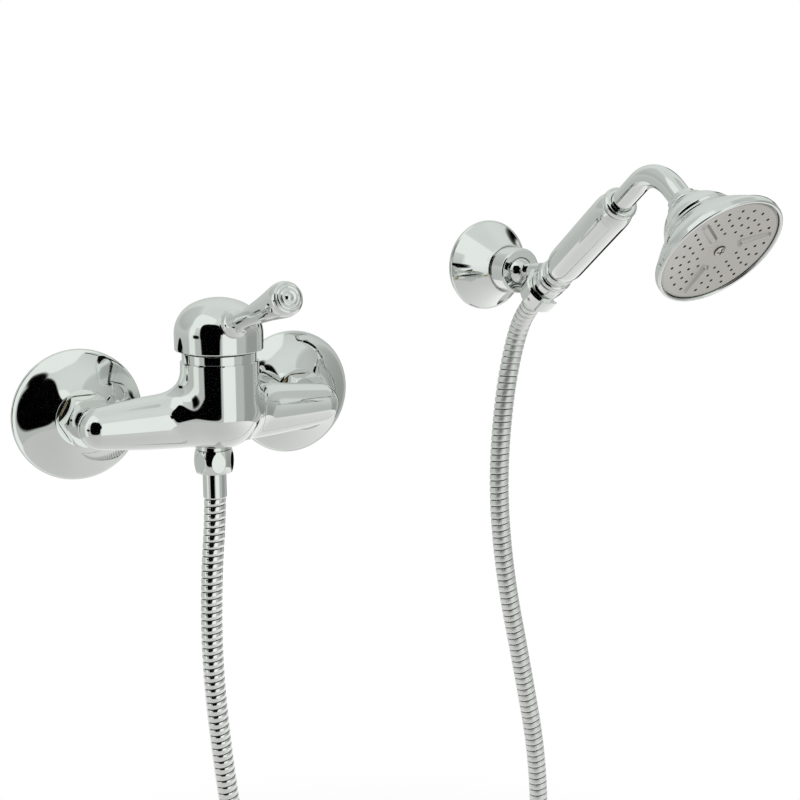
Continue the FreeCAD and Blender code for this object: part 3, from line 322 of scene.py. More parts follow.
def show(mesh, node):
    """Put a finished mesh in the scene in place of a CAD node, with that node's finish and body."""
    piece = add_object(node + "_finished", mesh)
    slot_key = SLOT_OF[node]
    mesh.materials.clear()
    mesh.materials.append(MATERIALS[slot_key])
    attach(piece, BODY_OF[node])
    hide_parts(node)
    return piece


def settle(mesh, modifiers):
    """The mesh with its modifiers worked in."""
    holder = add_object("holder", mesh)
    for kind, settings in modifiers:
        modifier = holder.modifiers.new(kind, kind)
        for name, value in settings.items():
            setattr(modifier, name, value)
    graph = bpy.context.evaluated_depsgraph_get()
    done = bpy.data.meshes.new_from_object(holder.evaluated_get(graph))
    bpy.data.objects.remove(holder)
    return done


def soften(width, angle=28.0, segments=3):
    """Rounding of a width in millimetres for edges sharper than an angle in degrees."""
    return ("BEVEL", {"width": width * MM, "segments": segments, "limit_method": "ANGLE",
                      "angle_limit": math.radians(angle), "harden_normals": False})


def smooth(mesh, angle=40.0):
    """Smooth shading that stops at edges sharper than an angle in degrees."""
    mesh.polygons.foreach_set("use_smooth", [True] * len(mesh.polygons))
    mesh.set_sharp_from_angle(angle=math.radians(angle))
    return mesh


def weigh(mesh):
    """Normals weighted by area, so that large faces stay true beside small roundings."""
    return settle(mesh, [("WEIGHTED_NORMAL", {"keep_sharp": True, "weight": 50})])


def along(origin, z_axis, x_axis):
    """Matrix from a piece's own axes, in millimetres, to the row frame in metres."""
    z = Vector(z_axis).normalized()
    x = (Vector(x_axis) - z * z.dot(Vector(x_axis))).normalized()
    turn = Matrix((x, z.cross(x), z)).transposed().to_4x4()
    return Matrix.Translation(metres(origin)) @ turn @ Matrix.Scale(MM, 4)


def arc(centre, radius, start, end, count=12):
    """Points of an arc in (radius, height), angles in degrees from the outward direction."""
    angles = [math.radians(start + (end - start) * k / count) for k in range(count + 1)]
    return [(centre[0] + radius * math.cos(a), centre[1] + radius * math.sin(a)) for a in angles]


def bow(a, b, sag, count=16):
    """Points from a to b on a shallow curve that sags to its right by sag."""
    run, rise = b[0] - a[0], b[1] - a[1]
    length = math.hypot(run, rise)
    across = (rise / length, -run / length)
    points = []
    for k in range(count + 1):
        t = k / count
        depth = 4 * t * (1 - t) * sag
        points.append((a[0] + run * t + across[0] * depth, a[1] + rise * t + across[1] * depth))
    return points


def waves(points, count=8):
    """A smooth line through the points, as a Catmull-Rom curve."""
    line = [points[0]] + list(points) + [points[-1]]
    result = []
    for p, q, r, s in zip(line, line[1:], line[2:], line[3:]):
        for k in range(count):
            t = k / count
            result.append(tuple(
                0.5 * (2 * b + (c - a) * t + (2 * a - 5 * b + 4 * c - d) * t ** 2
                       + (3 * b - a - 3 * c + d) * t ** 3)
                for a, b, c, d in zip(p, q, r, s)))
    return result + [points[-1]]


def baked(shape, name):
    """The mesh of a bmesh, which is freed."""
    mesh = bpy.data.meshes.new(name)
    shape.to_mesh(mesh)
    shape.free()
    return mesh


def woven(name, rows, closed=True):
    """Mesh of faces between rows of points, where a row may be a single point."""
    shape = bmesh.new()
    loops = [[shape.verts.new(point) for point in row] for row in rows]
    count = max(len(loop) for loop in loops)
    for low, high in zip(loops, loops[1:] + (loops[:1] if closed else [])):
        for k in range(count):
            m = k + 1
            ring = (low[k % len(low)], low[m % len(low)], high[m % len(high)], high[k % len(high)])
            corners = list(dict.fromkeys(ring))
            if len(corners) > 2:
                shape.faces.new(corners)
    bmesh.ops.remove_doubles(shape, verts=shape.verts, dist=WELD)
    bmesh.ops.recalc_face_normals(shape, faces=shape.faces)
    return baked(shape, name)


def lathe(outline, place, segments=128, edge=0.25, closed=False):
    """Turn an outline of (radius, height) points about the piece's own Z."""
    angles = [2 * math.pi * k / segments for k in range(segments)]
    rows = []
    for radius, height in outline:
        if radius < ON_AXIS:
            rows.append([(0, 0, height)])
        else:
            rows.append([(radius * math.cos(a), radius * math.sin(a), height) for a in angles])
    mesh = woven("turned", rows, closed)
    mesh.transform(place)
    if edge:
        mesh = settle(mesh, [soften(edge)])
    return weigh(smooth(mesh))


def turned(node, outline, place, segments=112, edge=0.25):
    """Show a CAD node as a closed outline turned about its axis."""
    show(lathe(outline, place, segments, edge, closed=True), node)


def tidy_cad(node, edge, angle):
    """A merged, smooth copy of a CAD node's mesh."""
    mesh = NODES[node].data.copy()
    shape = bmesh.new()
    shape.from_mesh(mesh)
    bmesh.ops.remove_doubles(shape, verts=shape.verts, dist=CAD_WELD)
    bmesh.ops.dissolve_degenerate(shape, edges=shape.edges, dist=SLIVER)
    shape.to_mesh(mesh)
    shape.free()
    if mesh.has_custom_normals:
        with bpy.context.temp_override(mesh=mesh):
            mesh.normals_split_custom_set([(0, 0, 0)] * len(mesh.loops))
    if edge:
        return weigh(smooth(settle(mesh, [soften(edge, 35.0, 2)]), angle))
    return smooth(mesh, angle)


def keep_cad(node, edge=0.0, angle=40.0):
    return show(tidy_cad(node, edge, angle), node)


def join_meshes(*meshes):
    shape = bmesh.new()
    for mesh in meshes:
        shape.from_mesh(mesh)
    return weigh(smooth(baked(shape, "joined")))


# Hose
HOSE_DIAMETER = 14.0
HOSE_CORE = 6.15        # radius of the core tube, painted dark as the shade between the strip's turns
STRIP_PITCH = 4.8
STRIP_WIDTH = 4.05
STRIP_STEPS = 26        # stations in each turn of the strip
STRIP_FOOT = 0.2        # depth of the strip inside the core
STRIP_DROP = 0.22       # fall of the strip's edges below its crown
SHOULDER_IN = 0.5       # distance of the strip's shoulders from its edges
SHOULDER_DROP = 0.05    # their fall below the crown
CORE_STEP = 0.008       # metres between the core's rings
CORE_SIDES = 24
LINE_STEPS = 24         # points in each stretch of the centreline
OUTLET = (0, -44)       # X and Y of the mixer's outlet
HANDLE_RISE = 32.3      # degrees above level
HANDLE_TURN = -9.0      # degrees from straight out, towards +X
HEAD_ROLL = 8.7         # degrees about the handle
LOWER_BEAD = Vector((234.5, -93.5, 84.3))

rise, turn = math.radians(HANDLE_RISE), math.radians(HANDLE_TURN)
ALONG = Vector((math.sin(turn) * math.cos(rise), -math.cos(turn) * math.cos(rise), math.sin(rise)))
SIDE = ALONG.cross(Vector((0, 0, 1))).normalized()
BELOW = ALONG.cross(SIDE).normalized()
if BELOW.z > 0:
    BELOW.negate()
BELOW = Matrix.Rotation(math.radians(HEAD_ROLL), 3, ALONG) @ BELOW

HOSE_ROUTE = (
    (0, -44, -40), (0, -44, -66), (-3.9, -44, -104), (-5.6, -44, -160), (-1.6, -44, -222), (7.5, -44, -300),
    (19, -44.5, -390), (29, -45, -488), (46, -46, -580), (93, -46.5, -656), (165, -47, -678),
    (228, -46.5, -624), (255, -46, -540), (263, -45, -450), (264.5, -43, -370), (262, -41, -300),
    (248, -38, -225), (232.5, -35.5, -150), (226.5, -33.3, -82), (231, -32, -18), (240.9, -31.6, 29),
    tuple(LOWER_BEAD - ALONG * 58.0), tuple(LOWER_BEAD - ALONG * 22.2),
)


def hose_line():
    """The hose's centreline as a NURBS curve object."""
    curve = bpy.data.curves.new("hose line", "CURVE")
    curve.dimensions = "3D"
    spline = curve.splines.new("NURBS")
    spline.points.add(len(HOSE_ROUTE) - 1)
    for point, place in zip(spline.points, HOSE_ROUTE):
        point.co = (*metres(place), 1)
    spline.order_u = 3
    spline.use_endpoint_u = True
    spline.resolution_u = LINE_STEPS
    return add_object("hose line", curve)


def tree_socket(tree, name, kind, default=None, output=False):
    socket = tree.interface.new_socket(name, in_out="OUTPUT" if output else "INPUT", socket_type=kind)
    if default is not None:
        socket.default_value = default


def set_input(modifier, tree, name, value):
    for item in tree.interface.items_tree:
        if item.item_type == "SOCKET" and item.in_out == "INPUT" and item.name == name:
            modifier[item.identifier] = value


def hose_tree():
    """One strip wound along a line as a helix, over a core tube painted dark as the shade between its turns.
    """
    tree = bpy.data.node_groups.new("wound hose", "GeometryNodeTree")
    tree_socket(tree, "Line", "NodeSocketGeometry")
    tree_socket(tree, "Profile", "NodeSocketObject")
    tree_socket(tree, "Pitch", "NodeSocketFloat", STRIP_PITCH * MM)
    tree_socket(tree, "Core Radius", "NodeSocketFloat", HOSE_CORE * MM)
    tree_socket(tree, "Metal", "NodeSocketMaterial")
    tree_socket(tree, "Shadow", "NodeSocketMaterial")
    tree_socket(tree, "Hose", "NodeSocketGeometry", output=True)
    nodes, links = tree.nodes, tree.links

    def add(kind, *values, mode=None, operation=None, **named):
        """A node whose inputs are fed in order, or by name with _ for a space."""
        node = nodes.new(kind)
        if mode:
            node.mode = mode
        if operation:
            node.operation = operation
        fed = list(zip(node.inputs, values))
        fed += [(node.inputs[name.replace("_", " ")], value) for name, value in named.items()]
        for socket, value in fed:
            if isinstance(value, bpy.types.NodeSocket):
                links.new(value, socket)
            else:
                socket.default_value = value
        return node

    def maths(operation, first, second):
        return add("ShaderNodeMath", first, second, operation=operation).outputs[0]

    start = nodes.new("NodeGroupInput").outputs
    length = add("GeometryNodeCurveLength", start["Line"]).outputs[0]
    stations = add("GeometryNodeMeshLine",
                   Count=maths("MULTIPLY", maths("DIVIDE", length, start["Pitch"]), STRIP_STEPS))
    turn_count = maths("DIVIDE", add("GeometryNodeInputIndex").outputs[0], STRIP_STEPS)
    sample = add("GeometryNodeSampleCurve", mode="LENGTH", Curves=start["Line"],
                 Length=maths("MULTIPLY", turn_count, start["Pitch"]))
    sample.use_all_curves = False
    outward = add("ShaderNodeVectorRotate", Vector=sample.outputs["Normal"], Axis=sample.outputs["Tangent"],
                  Angle=maths("MULTIPLY", turn_count, 2 * math.pi)).outputs[0]
    reach = add("ShaderNodeVectorMath", outward, operation="SCALE", Scale=start["Core Radius"])
    place = add("ShaderNodeVectorMath", sample.outputs["Position"], reach.outputs[0])
    way = nodes.new("GeometryNodeCaptureAttribute")
    way.capture_items.new("VECTOR", "outward")
    links.new(stations.outputs[0], way.inputs[0])
    links.new(outward, way.inputs[1])
    moved = add("GeometryNodeSetPosition", Geometry=way.outputs[0], Position=place.outputs[0])
    helix = add("GeometryNodeMeshToCurve", moved.outputs[0])
    facing = add("GeometryNodeSetCurveNormal", mode="FREE", Curve=helix.outputs[0], Normal=way.outputs[1])
    source = add("GeometryNodeObjectInfo", Object=start["Profile"])
    strip = add("GeometryNodeCurveToMesh", Curve=facing.outputs[0], Profile_Curve=source.outputs["Geometry"],
                Fill_Caps=True)
    fine = add("GeometryNodeResampleCurve", mode="LENGTH", Curve=start["Line"], Length=CORE_STEP)
    # The core tube takes the Shadow material: painted shade in the gaps between the strip's turns
    ring = add("GeometryNodeCurvePrimitiveCircle", Resolution=CORE_SIDES, Radius=start["Core Radius"])
    core = add("GeometryNodeCurveToMesh", Curve=fine.outputs[0], Profile_Curve=ring.outputs[0],
               Fill_Caps=True)
    both = nodes.new("GeometryNodeJoinGeometry")
    for part, finish in ((strip, "Metal"), (core, "Shadow")):
        coat = add("GeometryNodeSetMaterial", Geometry=part.outputs[0], Material=start[finish])
        links.new(coat.outputs[0], both.inputs[0])
    real = add("GeometryNodeRealizeInstances", both.outputs[0])
    end = nodes.new("NodeGroupOutput")
    links.new(real.outputs[0], end.inputs[0])
    return tree


def strip_profile():
    """Cross-section of the wound strip: a low rounded band, with its height along X."""
    half, crown = STRIP_WIDTH / 2, HOSE_DIAMETER / 2 - HOSE_CORE
    points = [(-STRIP_FOOT, -half), (crown - STRIP_DROP, -half), (crown - SHOULDER_DROP, SHOULDER_IN - half),
              (crown, 0), (crown - SHOULDER_DROP, half - SHOULDER_IN), (crown - STRIP_DROP, half),
              (-STRIP_FOOT, half)]
    curve = bpy.data.curves.new("strip", "CURVE")
    curve.dimensions = "3D"
    spline = curve.splines.new("POLY")
    spline.points.add(len(points) - 1)
    for point, (x, y) in zip(spline.points, points):
        point.co = (x * MM, y * MM, 0, 1)
    spline.use_cyclic_u = True
    return add_object("strip", curve)


def centreline(line):
    """Points of the hose's line, in metres, as the curve itself gives them."""
    graph = bpy.context.evaluated_depsgraph_get()
    mesh = bpy.data.meshes.new_from_object(line.evaluated_get(graph))
    points = [tuple(vertex.co) for vertex in mesh.vertices]
    bpy.data.meshes.remove(mesh)
    return points


def make_hose():
    """The wound hose as an object, and the points of its centreline."""
    line = hose_line()
    path = centreline(line)
    strip = strip_profile()
    tree = hose_tree()
    modifier = line.modifiers.new("wound hose", "NODES")
    modifier.node_group = tree
    set_input(modifier, tree, "Metal", MATERIALS["hose_metal"])
    set_input(modifier, tree, "Shadow", MATERIALS["groove"])
    set_input(modifier, tree, "Profile", strip)
    graph = bpy.context.evaluated_depsgraph_get()
    mesh = bpy.data.meshes.new_from_object(line.evaluated_get(graph))
    bpy.data.objects.remove(line)
    bpy.data.objects.remove(strip)
    bpy.data.node_groups.remove(tree)
    hose = add_object("wound_hose", smooth(mesh, 60.0))
    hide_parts("shower_hose")
    return hose, path


hose, hose_path = make_hose()
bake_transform(hose)

# Wall inlets
INLETS = (("left", -75.0), ("right", 75.0))
OUT = Vector((0, -1, 0))
UP = Vector((0, 0, 1))
RIGHT = Vector((1, 0, 0))


def on_wall(x, z):
    """Place whose own axis stands straight out of the wall."""
    return along((x, 0, z), OUT, RIGHT)


ROSETTE_SAG = -1.6


def rosette_outline():
    rim = [(42.5, 0.0)] + arc((41.7, 1.5), 0.8, 0, 90, 5)
    outside = rim + bow((41.0, 2.3), (18.7, 14.6), ROSETTE_SAG) + [(18.3, 14.95)]
    top = [(18.0, 15.0), (13.7, 15.0), (13.7, 13.9), (18.0, 13.8)]
    inside = bow((40.8, 1.1), (18.0, 13.8), ROSETTE_SAG)[::-1][1:] + [(41.2, 0.0)]
    return outside + top + inside


for side, x in INLETS:
    turned(side + "_rosette", rosette_outline(), on_wall(x, 0), 160, 0.2)
    keep_cad(side + "_union_nut", 0.35)
    keep_cad(side + "_wall_union")
    keep_cad(side + "_filter_washer")

# Mixer body: two arms that taper to ball-shaped ends, and an upright column with a ball-shaped foot
COLUMN = (0, -58)
COLUMN_PLACE = along((*COLUMN, 0), UP, RIGHT)
OUTLET_PLACE = along((*OUTLET, 0), UP, RIGHT)
ARM_Y = -46.5
ARM_RADIUS = 18.4
ARM_TAPER = 0.00088     # loss of radius for the square of the distance out
ARM_END = 76.3          # where the taper runs into the ball-shaped end
END_RADIUS = 13.4
END_OUT = 74.5          # distance of the ball-shaped end's middle
FOOT_MIDDLE = 6.0       # height of the middle of the column's foot
CAST_RADIUS = 24.6
CAST_TOP = 37.2
JOIN_WIDTH = 8.0        # the join's width below JOIN_FROM, which doubles over JOIN_RISE
JOIN_FROM = -12.0
JOIN_RISE = 20.0
SLOPE_STEP = 0.02
CAST_VOXEL = 1.15
CAST_PASSES = 14        # how often the mesh is moved onto the casting's surface
CAST_EVENING = 12       # in how many of these its points are evened out first
ABOVE_TOP = 4.0         # points this far above the flat top stay where they are
ROUGH_END = 13.5        # radius of the rough shape's ends
# Bore for the cartridge, from the top down, and outlines of the outlet's boss and of the tails
BORE = ((20.0, CAST_TOP), (20.0, 30.0), (17.6, 30.0), (17.6, 9.0))
OUTLET_BOSS = ((0, -22.1), (10.9, -22.1), (11.4, -21.6), (11.4, -8), (0, -8))
TAIL = ((0, 22.0), (12.4, 22.0), (12.4, 24.6), (9.0, 24.6), (9.0, 46.5), (0, 46.5))


def ease(share):
    """Smooth rise from 0 to 1."""
    return share * share * (3 - 2 * share)


def cast_distance(points):
    """About how far points are outside the casting: arms and column run into each other."""
    reach = np.abs(points[:, 0])
    off = np.hypot(points[:, 1] - ARM_Y, points[:, 2])
    tube = off - ARM_RADIUS + ARM_TAPER * reach ** 2
    ball = np.hypot(off, reach - END_OUT) - END_RADIUS
    spindle = np.where(reach > ARM_END, ball, tube)
    below = np.minimum(points[:, 2] - FOOT_MIDDLE, 0.0)
    column = np.sqrt(points[:, 0] ** 2 + (points[:, 1] - COLUMN[1]) ** 2 + below ** 2) - CAST_RADIUS
    width = JOIN_WIDTH + JOIN_WIDTH * ease(np.clip((points[:, 2] - JOIN_FROM) / JOIN_RISE, 0.0, 1.0))
    near = np.maximum(width - np.abs(spindle - column), 0.0) / width
    return np.minimum(spindle, column) - near ** 2 * width / 4.0


def cast_slope(points):
    """Direction in which the distance grows, by small steps."""
    sides = [cast_distance(points + way) - cast_distance(points - way) for way in np.eye(3) * SLOPE_STEP]
    slope = np.stack(sides, axis=1) / (2 * SLOPE_STEP)
    return slope / np.linalg.norm(slope, axis=1, keepdims=True)


def cast_shell():
    """Even mesh of the casting's outside, in millimetres, open at the column's flat top."""
    right_end = [(0, 88.0)] + arc((0, END_OUT), ROUGH_END, 85, 0, 16)
    middle = [(15.8, 54), (17.5, 32), (18.4, 0), (17.5, -32), (15.8, -54)]
    left_end = arc((0, -END_OUT), ROUGH_END, 0, -85, 16) + [(0, -88.0)]
    arms = lathe(right_end + middle + left_end, along((0, ARM_Y, 0), RIGHT, UP), 64, 0)
    foot = [(0, FOOT_MIDDLE - CAST_RADIUS)] + arc((0, FOOT_MIDDLE), CAST_RADIUS, -86, 0, 20)
    column = lathe(foot + [(CAST_RADIUS, 44), (0, 44)], COLUMN_PLACE, 96, 0)
    mesh = settle(join_meshes(arms, column), [("REMESH", {"mode": "VOXEL", "voxel_size": CAST_VOXEL * MM})])
    count = len(mesh.vertices)
    points = np.empty(count * 3)
    mesh.vertices.foreach_get("co", points)
    points = points.reshape(-1, 3) / MM
    edges = np.empty(len(mesh.edges) * 2, dtype=np.int64)
    mesh.edges.foreach_get("vertices", edges)
    edges = edges.reshape(-1, 2)
    degree = np.bincount(edges.ravel(), minlength=count)[:, None]
    flat = points[:, 2] > CAST_TOP + ABOVE_TOP
    for turn in range(CAST_PASSES):
        total = np.zeros_like(points)
        np.add.at(total, edges[:, 0], points[edges[:, 1]])
        np.add.at(total, edges[:, 1], points[edges[:, 0]])
        relaxed = points * 0.5 + total / degree * 0.5 if turn < CAST_EVENING else points
        moved = relaxed - cast_slope(relaxed) * cast_distance(relaxed)[:, None]
        moved[flat] = points[flat]
        points = moved
    mesh.vertices.foreach_set("co", points.ravel())
    shape = bmesh.new()
    shape.from_mesh(mesh)
    bmesh.ops.bisect_plane(shape, geom=shape.verts[:] + shape.edges[:] + shape.faces[:], dist=1e-4,
                           plane_co=(0, 0, CAST_TOP), plane_no=(0, 0, 1), clear_outer=True)
    return shape


def mixer_body():
    """The casting's shell, welded to the bore for the cartridge, with the tails and the outlet boss."""
    shape = cast_shell()
    axis = Vector((*COLUMN, 0))
    row = sorted((v for v in shape.verts if v.is_boundary),
                 key=lambda v: math.atan2(v.co.y - axis.y, v.co.x - axis.x))
    directions = [Vector((v.co.x - axis.x, v.co.y - axis.y, 0)).normalized() for v in row]
    shell = len(shape.faces)
    for radius, height in BORE:
        inner = [shape.verts.new(axis + way * radius + UP * height) for way in directions]
        for k in range(len(row)):
            shape.faces.new((row[k - 1], row[k], inner[k], inner[k - 1]))
        row = inner
    shape.faces.new(row)
    bmesh.ops.recalc_face_normals(shape, faces=shape.faces)
    bmesh.ops.scale(shape, vec=(MM, MM, MM), verts=shape.verts)
    shape.faces.ensure_lookup_table()
    outer = {face.index for face in shape.faces[:shell]}
    casting = smooth(baked(shape, "casting"), 50.0)
    places = np.array([vertex.co for vertex in casting.vertices]) / MM
    slopes = cast_slope(places)
    normals = corner_normals(casting)
    for polygon in casting.polygons:
        if polygon.index in outer:
            for corner in polygon.loop_indices:
                normals[corner] = slopes[casting.loops[corner].vertex_index]
    details = [lathe(OUTLET_BOSS, OUTLET_PLACE, 96, 0.0)]
    details += [lathe(TAIL, on_wall(x, 0), 64, 0.15) for _, x in INLETS]
    return with_normals([(casting, normals)] + [(mesh, corner_normals(mesh)) for mesh in details])


def corner_normals(mesh):
    return np.array([tuple(corner.vector) for corner in mesh.corner_normals])


def with_normals(parts):
    """One mesh from several, each keeping its own normals."""
    points, faces, normals, first = [], [], [], 0
    for mesh, vectors in parts:
        points += [tuple(vertex.co) for vertex in mesh.vertices]
        faces += [tuple(first + corner for corner in polygon.vertices) for polygon in mesh.polygons]
        normals.append(vectors)
        first = len(points)
    result = bpy.data.meshes.new("with normals")
    result.from_pydata(points, [], faces)
    result.polygons.foreach_set("use_smooth", [True] * len(result.polygons))
    result.normals_split_custom_set(np.concatenate(normals).tolist())
    return result


show(mixer_body(), "mixer_body")
for node in ("outlet_nipple", "check_valve", "hose_washer", "port_seal", "cartridge_housing",
             "cartridge_nut", "fixed_disc", "moving_disc", "drive_plate", "swivel_carrier", "pivot_pin",
             "spindle", "lever_grub_screw"):
    keep_cad(node)
neck = [(19.8, 37.5), (23.0, 37.5), (23.4, 37.9), (23.4, 43.3), (22.9, 43.8), (19.8, 43.8)]
turned("neck_ring", neck, COLUMN_PLACE, 128)

# Lever cap and lever
LEVER_HEIGHT = 55.5
LEVER_RISE = math.radians(18)
LEVER_PLACE = along((*COLUMN, LEVER_HEIGHT), (0, -math.cos(LEVER_RISE), math.sin(LEVER_RISE)), RIGHT)
CAP_RADIUS = 27.8
CAP_WALL = 1.6
SHOULDER_AT = (6.81, 54.70)
SHOULDER_RADIUS = 20.99
SHOULDER_TURN = 65      # degrees from level at which the shoulder runs into the crown
CROWN_AT = (0, 40.10)
CROWN_RADIUS = 37.10
LEVER_STEM = (
    (9.0, 27.6), (8.85, 28.8), (8.2, 30.4), (7.1, 32.1), (5.8, 35.6), (5.2, 40.0), (5.55, 50.0),
    (6.7, 65.0), (7.85, 79.0), (9.1, 91.0), (9.95, 98.5), (10.2, 103.5), (9.8, 106.8), (8.6, 109.0),
)


def cap_side(inset, low):
    """Straight side, round shoulder and flatter crown of the cap, from its rim to its top."""
    shoulder = arc(SHOULDER_AT, SHOULDER_RADIUS - inset, 0, SHOULDER_TURN, 22)
    crown = arc(CROWN_AT, CROWN_RADIUS - inset, SHOULDER_TURN, 90, 12)
    return [(CAP_RADIUS - inset, low)] + shoulder + crown[1:]


def lever_cap():
    outside = [(26.9, 44.8), (27.5, 45.0)] + cap_side(0, 45.6)
    inside = cap_side(CAP_WALL, 45.0)[::-1]
    shell = lathe(outside + inside, COLUMN_PLACE, 176, 0.0, closed=True)
    hub = lathe([(5.6, 53), (8, 53), (8, 74.4), (5.6, 74.4)], COLUMN_PLACE, 64, 0.2, closed=True)
    return join_meshes(shell, hub)


def lever_outline():
    """Foot, slender stem that thickens outwards, and three rounded rings at the tip."""
    rings = arc((6.0, 108.7), 1.5, 10, 84, 8) + arc((3.9, 109.4), 1.5, 18, 84, 8)
    rings += arc((0, 108.1), 3.5, 42, 90, 8)
    return [(0, 22.5), (9.0, 22.5)] + waves(LEVER_STEM) + [(7.9, 109.3)] + rings


show(lever_cap(), "lever_cap")
show(lathe(lever_outline(), LEVER_PLACE, 96, 0.12), "lever_arm")

# Outlet fittings
NUT_TURN = math.radians(-7.0)
NUT_LOW = -37.2
NUT_HIGH = -22.2
NUT_RADIUS = 12.8
NUT_BULGE = 1.15        # loss of radius at its ends
NUT_FLAT = 12.0         # distance of the flats from the axis
NO_FLAT = 20.0          # a distance beyond all of the nut's points
NUT_SIDES = 192
NUT_STEPS = 28


def barrel_nut():
    """Bulging round nut with six flats that fade out towards its ends."""
    sections = [(10.9, NUT_LOW, NUT_FLAT)]
    for k in range(NUT_STEPS + 1):
        height = NUT_LOW + (NUT_HIGH - NUT_LOW) * k / NUT_STEPS
        sections.append((NUT_RADIUS - NUT_BULGE * (2 * k / NUT_STEPS - 1) ** 2, height, NUT_FLAT))
    for radius, height in ((10.5, NUT_HIGH), (10.5, -35.1), (7.9, -35.1), (7.9, NUT_LOW)):
        sections.append((radius, height, NO_FLAT))
    rows = []
    for radius, height, flat in sections:
        row = []
        for k in range(NUT_SIDES):
            a = 2 * math.pi * k / NUT_SIDES
            off = (a - NUT_TURN) % (math.pi / 3) - math.pi / 6
            reach = min(radius, flat / math.cos(off))
            row.append((reach * math.cos(a), reach * math.sin(a), height))
        rows.append(row)
    mesh = woven("hose nut", rows)
    mesh.transform(OUTLET_PLACE)
    return smooth(mesh, 24.0)


show(barrel_nut(), "hose_nut")
ferrule = [(4.0, -33.0), (10.0, -33.0), (10.0, -35.0), (7.6, -35.3), (7.6, -53.5), (7.45, -54.2),
           (7.2, -54.5), (7.15, -40.0), (4.0, -40.0)]
turned("hose_ferrule", ferrule, OUTLET_PLACE, 96, 0.15)

# Hand shower
HANDLE_PLACE = along(LOWER_BEAD, ALONG, BELOW)
BEND = math.radians(72.5)
MEET_OUT = 140.7        # from the lower bead to where the handle's line meets the head's
FACE_OUT = 74.4         # from there to the spray face
BEND_RADIUS = 30.0
BEND_STEPS = 40
ARM_OUTER = 7.0
ARM_INNER = 5.2
ARM_SIDES = 64
ARM_FROM = 10.0         # where the tube starts, from the lower bead's middle
ARM_TO = 29.4           # where it ends in the head
SPRAY = (ALONG * math.cos(BEND) + BELOW * math.sin(BEND)).normalized()
MEET = LOWER_BEAD + ALONG * MEET_OUT
FACE_CENTRE = MEET + SPRAY * FACE_OUT
ACROSS = (ALONG - SPRAY * ALONG.dot(SPRAY)).normalized()
HEAD_PLACE = along(FACE_CENTRE, -SPRAY, ACROSS)


def bead(radius, bore, low, high):
    """Outline of a ring with a half-round outside."""
    half = (high - low) / 2
    outside = arc((radius - half, (low + high) / 2), half, -90, 90, 14)
    return [(bore, low), (radius - half, low)] + outside + [(bore, high)]


collar = [(5.2, -18.0), (10.3, -18.0), (10.3, -11.0)] + bead(11.9, 10.3, -11.0, -6.0)[1:-1] + [
    (9.6, -6.0), (9.6, -2.6), (8.0, -2.6), (8.0, 9.0), (5.2, 9.0)]
sleeve = [(8.2, 2.6), (10.4, 2.6)] + waves([(10.4, 2.6), (11.7, 6.0), (12.45, 10.5), (12.6, 16.0)]) + [
    (12.6, 76.0)] + waves([(12.6, 77.0), (12.45, 82.5), (11.7, 87.0), (10.4, 90.4)]) + [
    (8.2, 90.4), (8.2, 81.4), (11.4, 81.4), (11.4, 11.6), (8.2, 11.6)]
cone = [(7.3, -41.0), (8.3, -41.0), (8.7, -40.5), (11.6, -18.2), (11.6, -11.5), (11.2, -11.1), (10.4, -11.1),
        (10.4, -22.0), (7.3, -22.0)]
turned("handset_inlet", collar, HANDLE_PLACE)
turned("lower_bead", bead(11.2, 8.2, -2.5, 2.5), HANDLE_PLACE)
turned("handle_sleeve", sleeve, HANDLE_PLACE)
turned("upper_bead", bead(11.2, 7.2, 90.5, 95.5), HANDLE_PLACE)
turned("cone_nut", cone, HANDLE_PLACE)
collar_nut = [(7.2, 38.1), (11.3, 38.1), (11.6, 38.5), (11.6, 39.6), (11.2, 40.1)] + bow(
    (11.0, 40.4), (8.75, 43.9), -0.5) + [(8.6, 44.6), (8.0, 45.0), (7.2, 45.0)]
turned("head_nut", collar_nut, HEAD_PLACE)


def bell_outline():
    """Round rim, flare, small rounded step and domed neck, with a ledge for the face inside."""
    rim = [(37.4, 1.05)] + arc((38.45, 1.05), 1.05, -170, 0, 16) + [(39.5, 3.2)]
    shoulder = waves([(39.5, 3.4), (39.25, 4.7), (38.6, 5.9), (37.3, 7.1)])
    flare = bow((37.3, 7.1), (21.3, 22.9), 0.6, 24)[1:-1]
    step = waves([(21.3, 22.9), (21.35, 23.6), (21.95, 24.5), (22.05, 25.2)], 5)
    dome = bow((22.0, 25.3), (11.9, 38.0), 1.1, 20)
    under_dome = bow((20.4, 24.9), (5.2, 36.4), 1.1)[::-1]
    under_flare = bow((33.5, 5.0), (19.7, 22.9), -1.0)[::-1]
    return rim + shoulder + flare + step + dome + [(5.2, 38.0)] + under_dome + under_flare + [(37.4, 5.0)]


def bent_arm():
    """Tube swept along the straight, the bend and the short drop into the head nut."""
    tangent = BEND_RADIUS * math.tan(BEND / 2)
    centre = MEET - ALONG * tangent + BELOW * BEND_RADIUS
    stations = [(LOWER_BEAD + ALONG * ARM_FROM, ALONG)]
    for k in range(BEND_STEPS + 1):
        a = BEND * k / BEND_STEPS
        way = ALONG * math.cos(a) + BELOW * math.sin(a)
        stations.append((centre + (ALONG * math.sin(a) - BELOW * math.cos(a)) * BEND_RADIUS, way))
    stations.append((MEET + SPRAY * ARM_TO, SPRAY))
    cross = ALONG.cross(BELOW).normalized()
    turns = [2 * math.pi * k / ARM_SIDES for k in range(ARM_SIDES)]

    def sweep(radius):
        rows = []
        for point, way in stations:
            other = way.cross(cross)
            rows.append([(point + (cross * math.cos(a) + other * math.sin(a)) * radius) * MM for a in turns])
        return rows

    return smooth(woven("bent arm", sweep(ARM_OUTER) + sweep(ARM_INNER)[::-1]), 50.0)


turned("bell_head", bell_outline(), HEAD_PLACE, 160, 0.15)
show(bent_arm(), "bent_arm")
for node in ("face_seal", "water_spreader", "cone_washer", "hose_tail"):
    keep_cad(node, 0.0, 30.0)

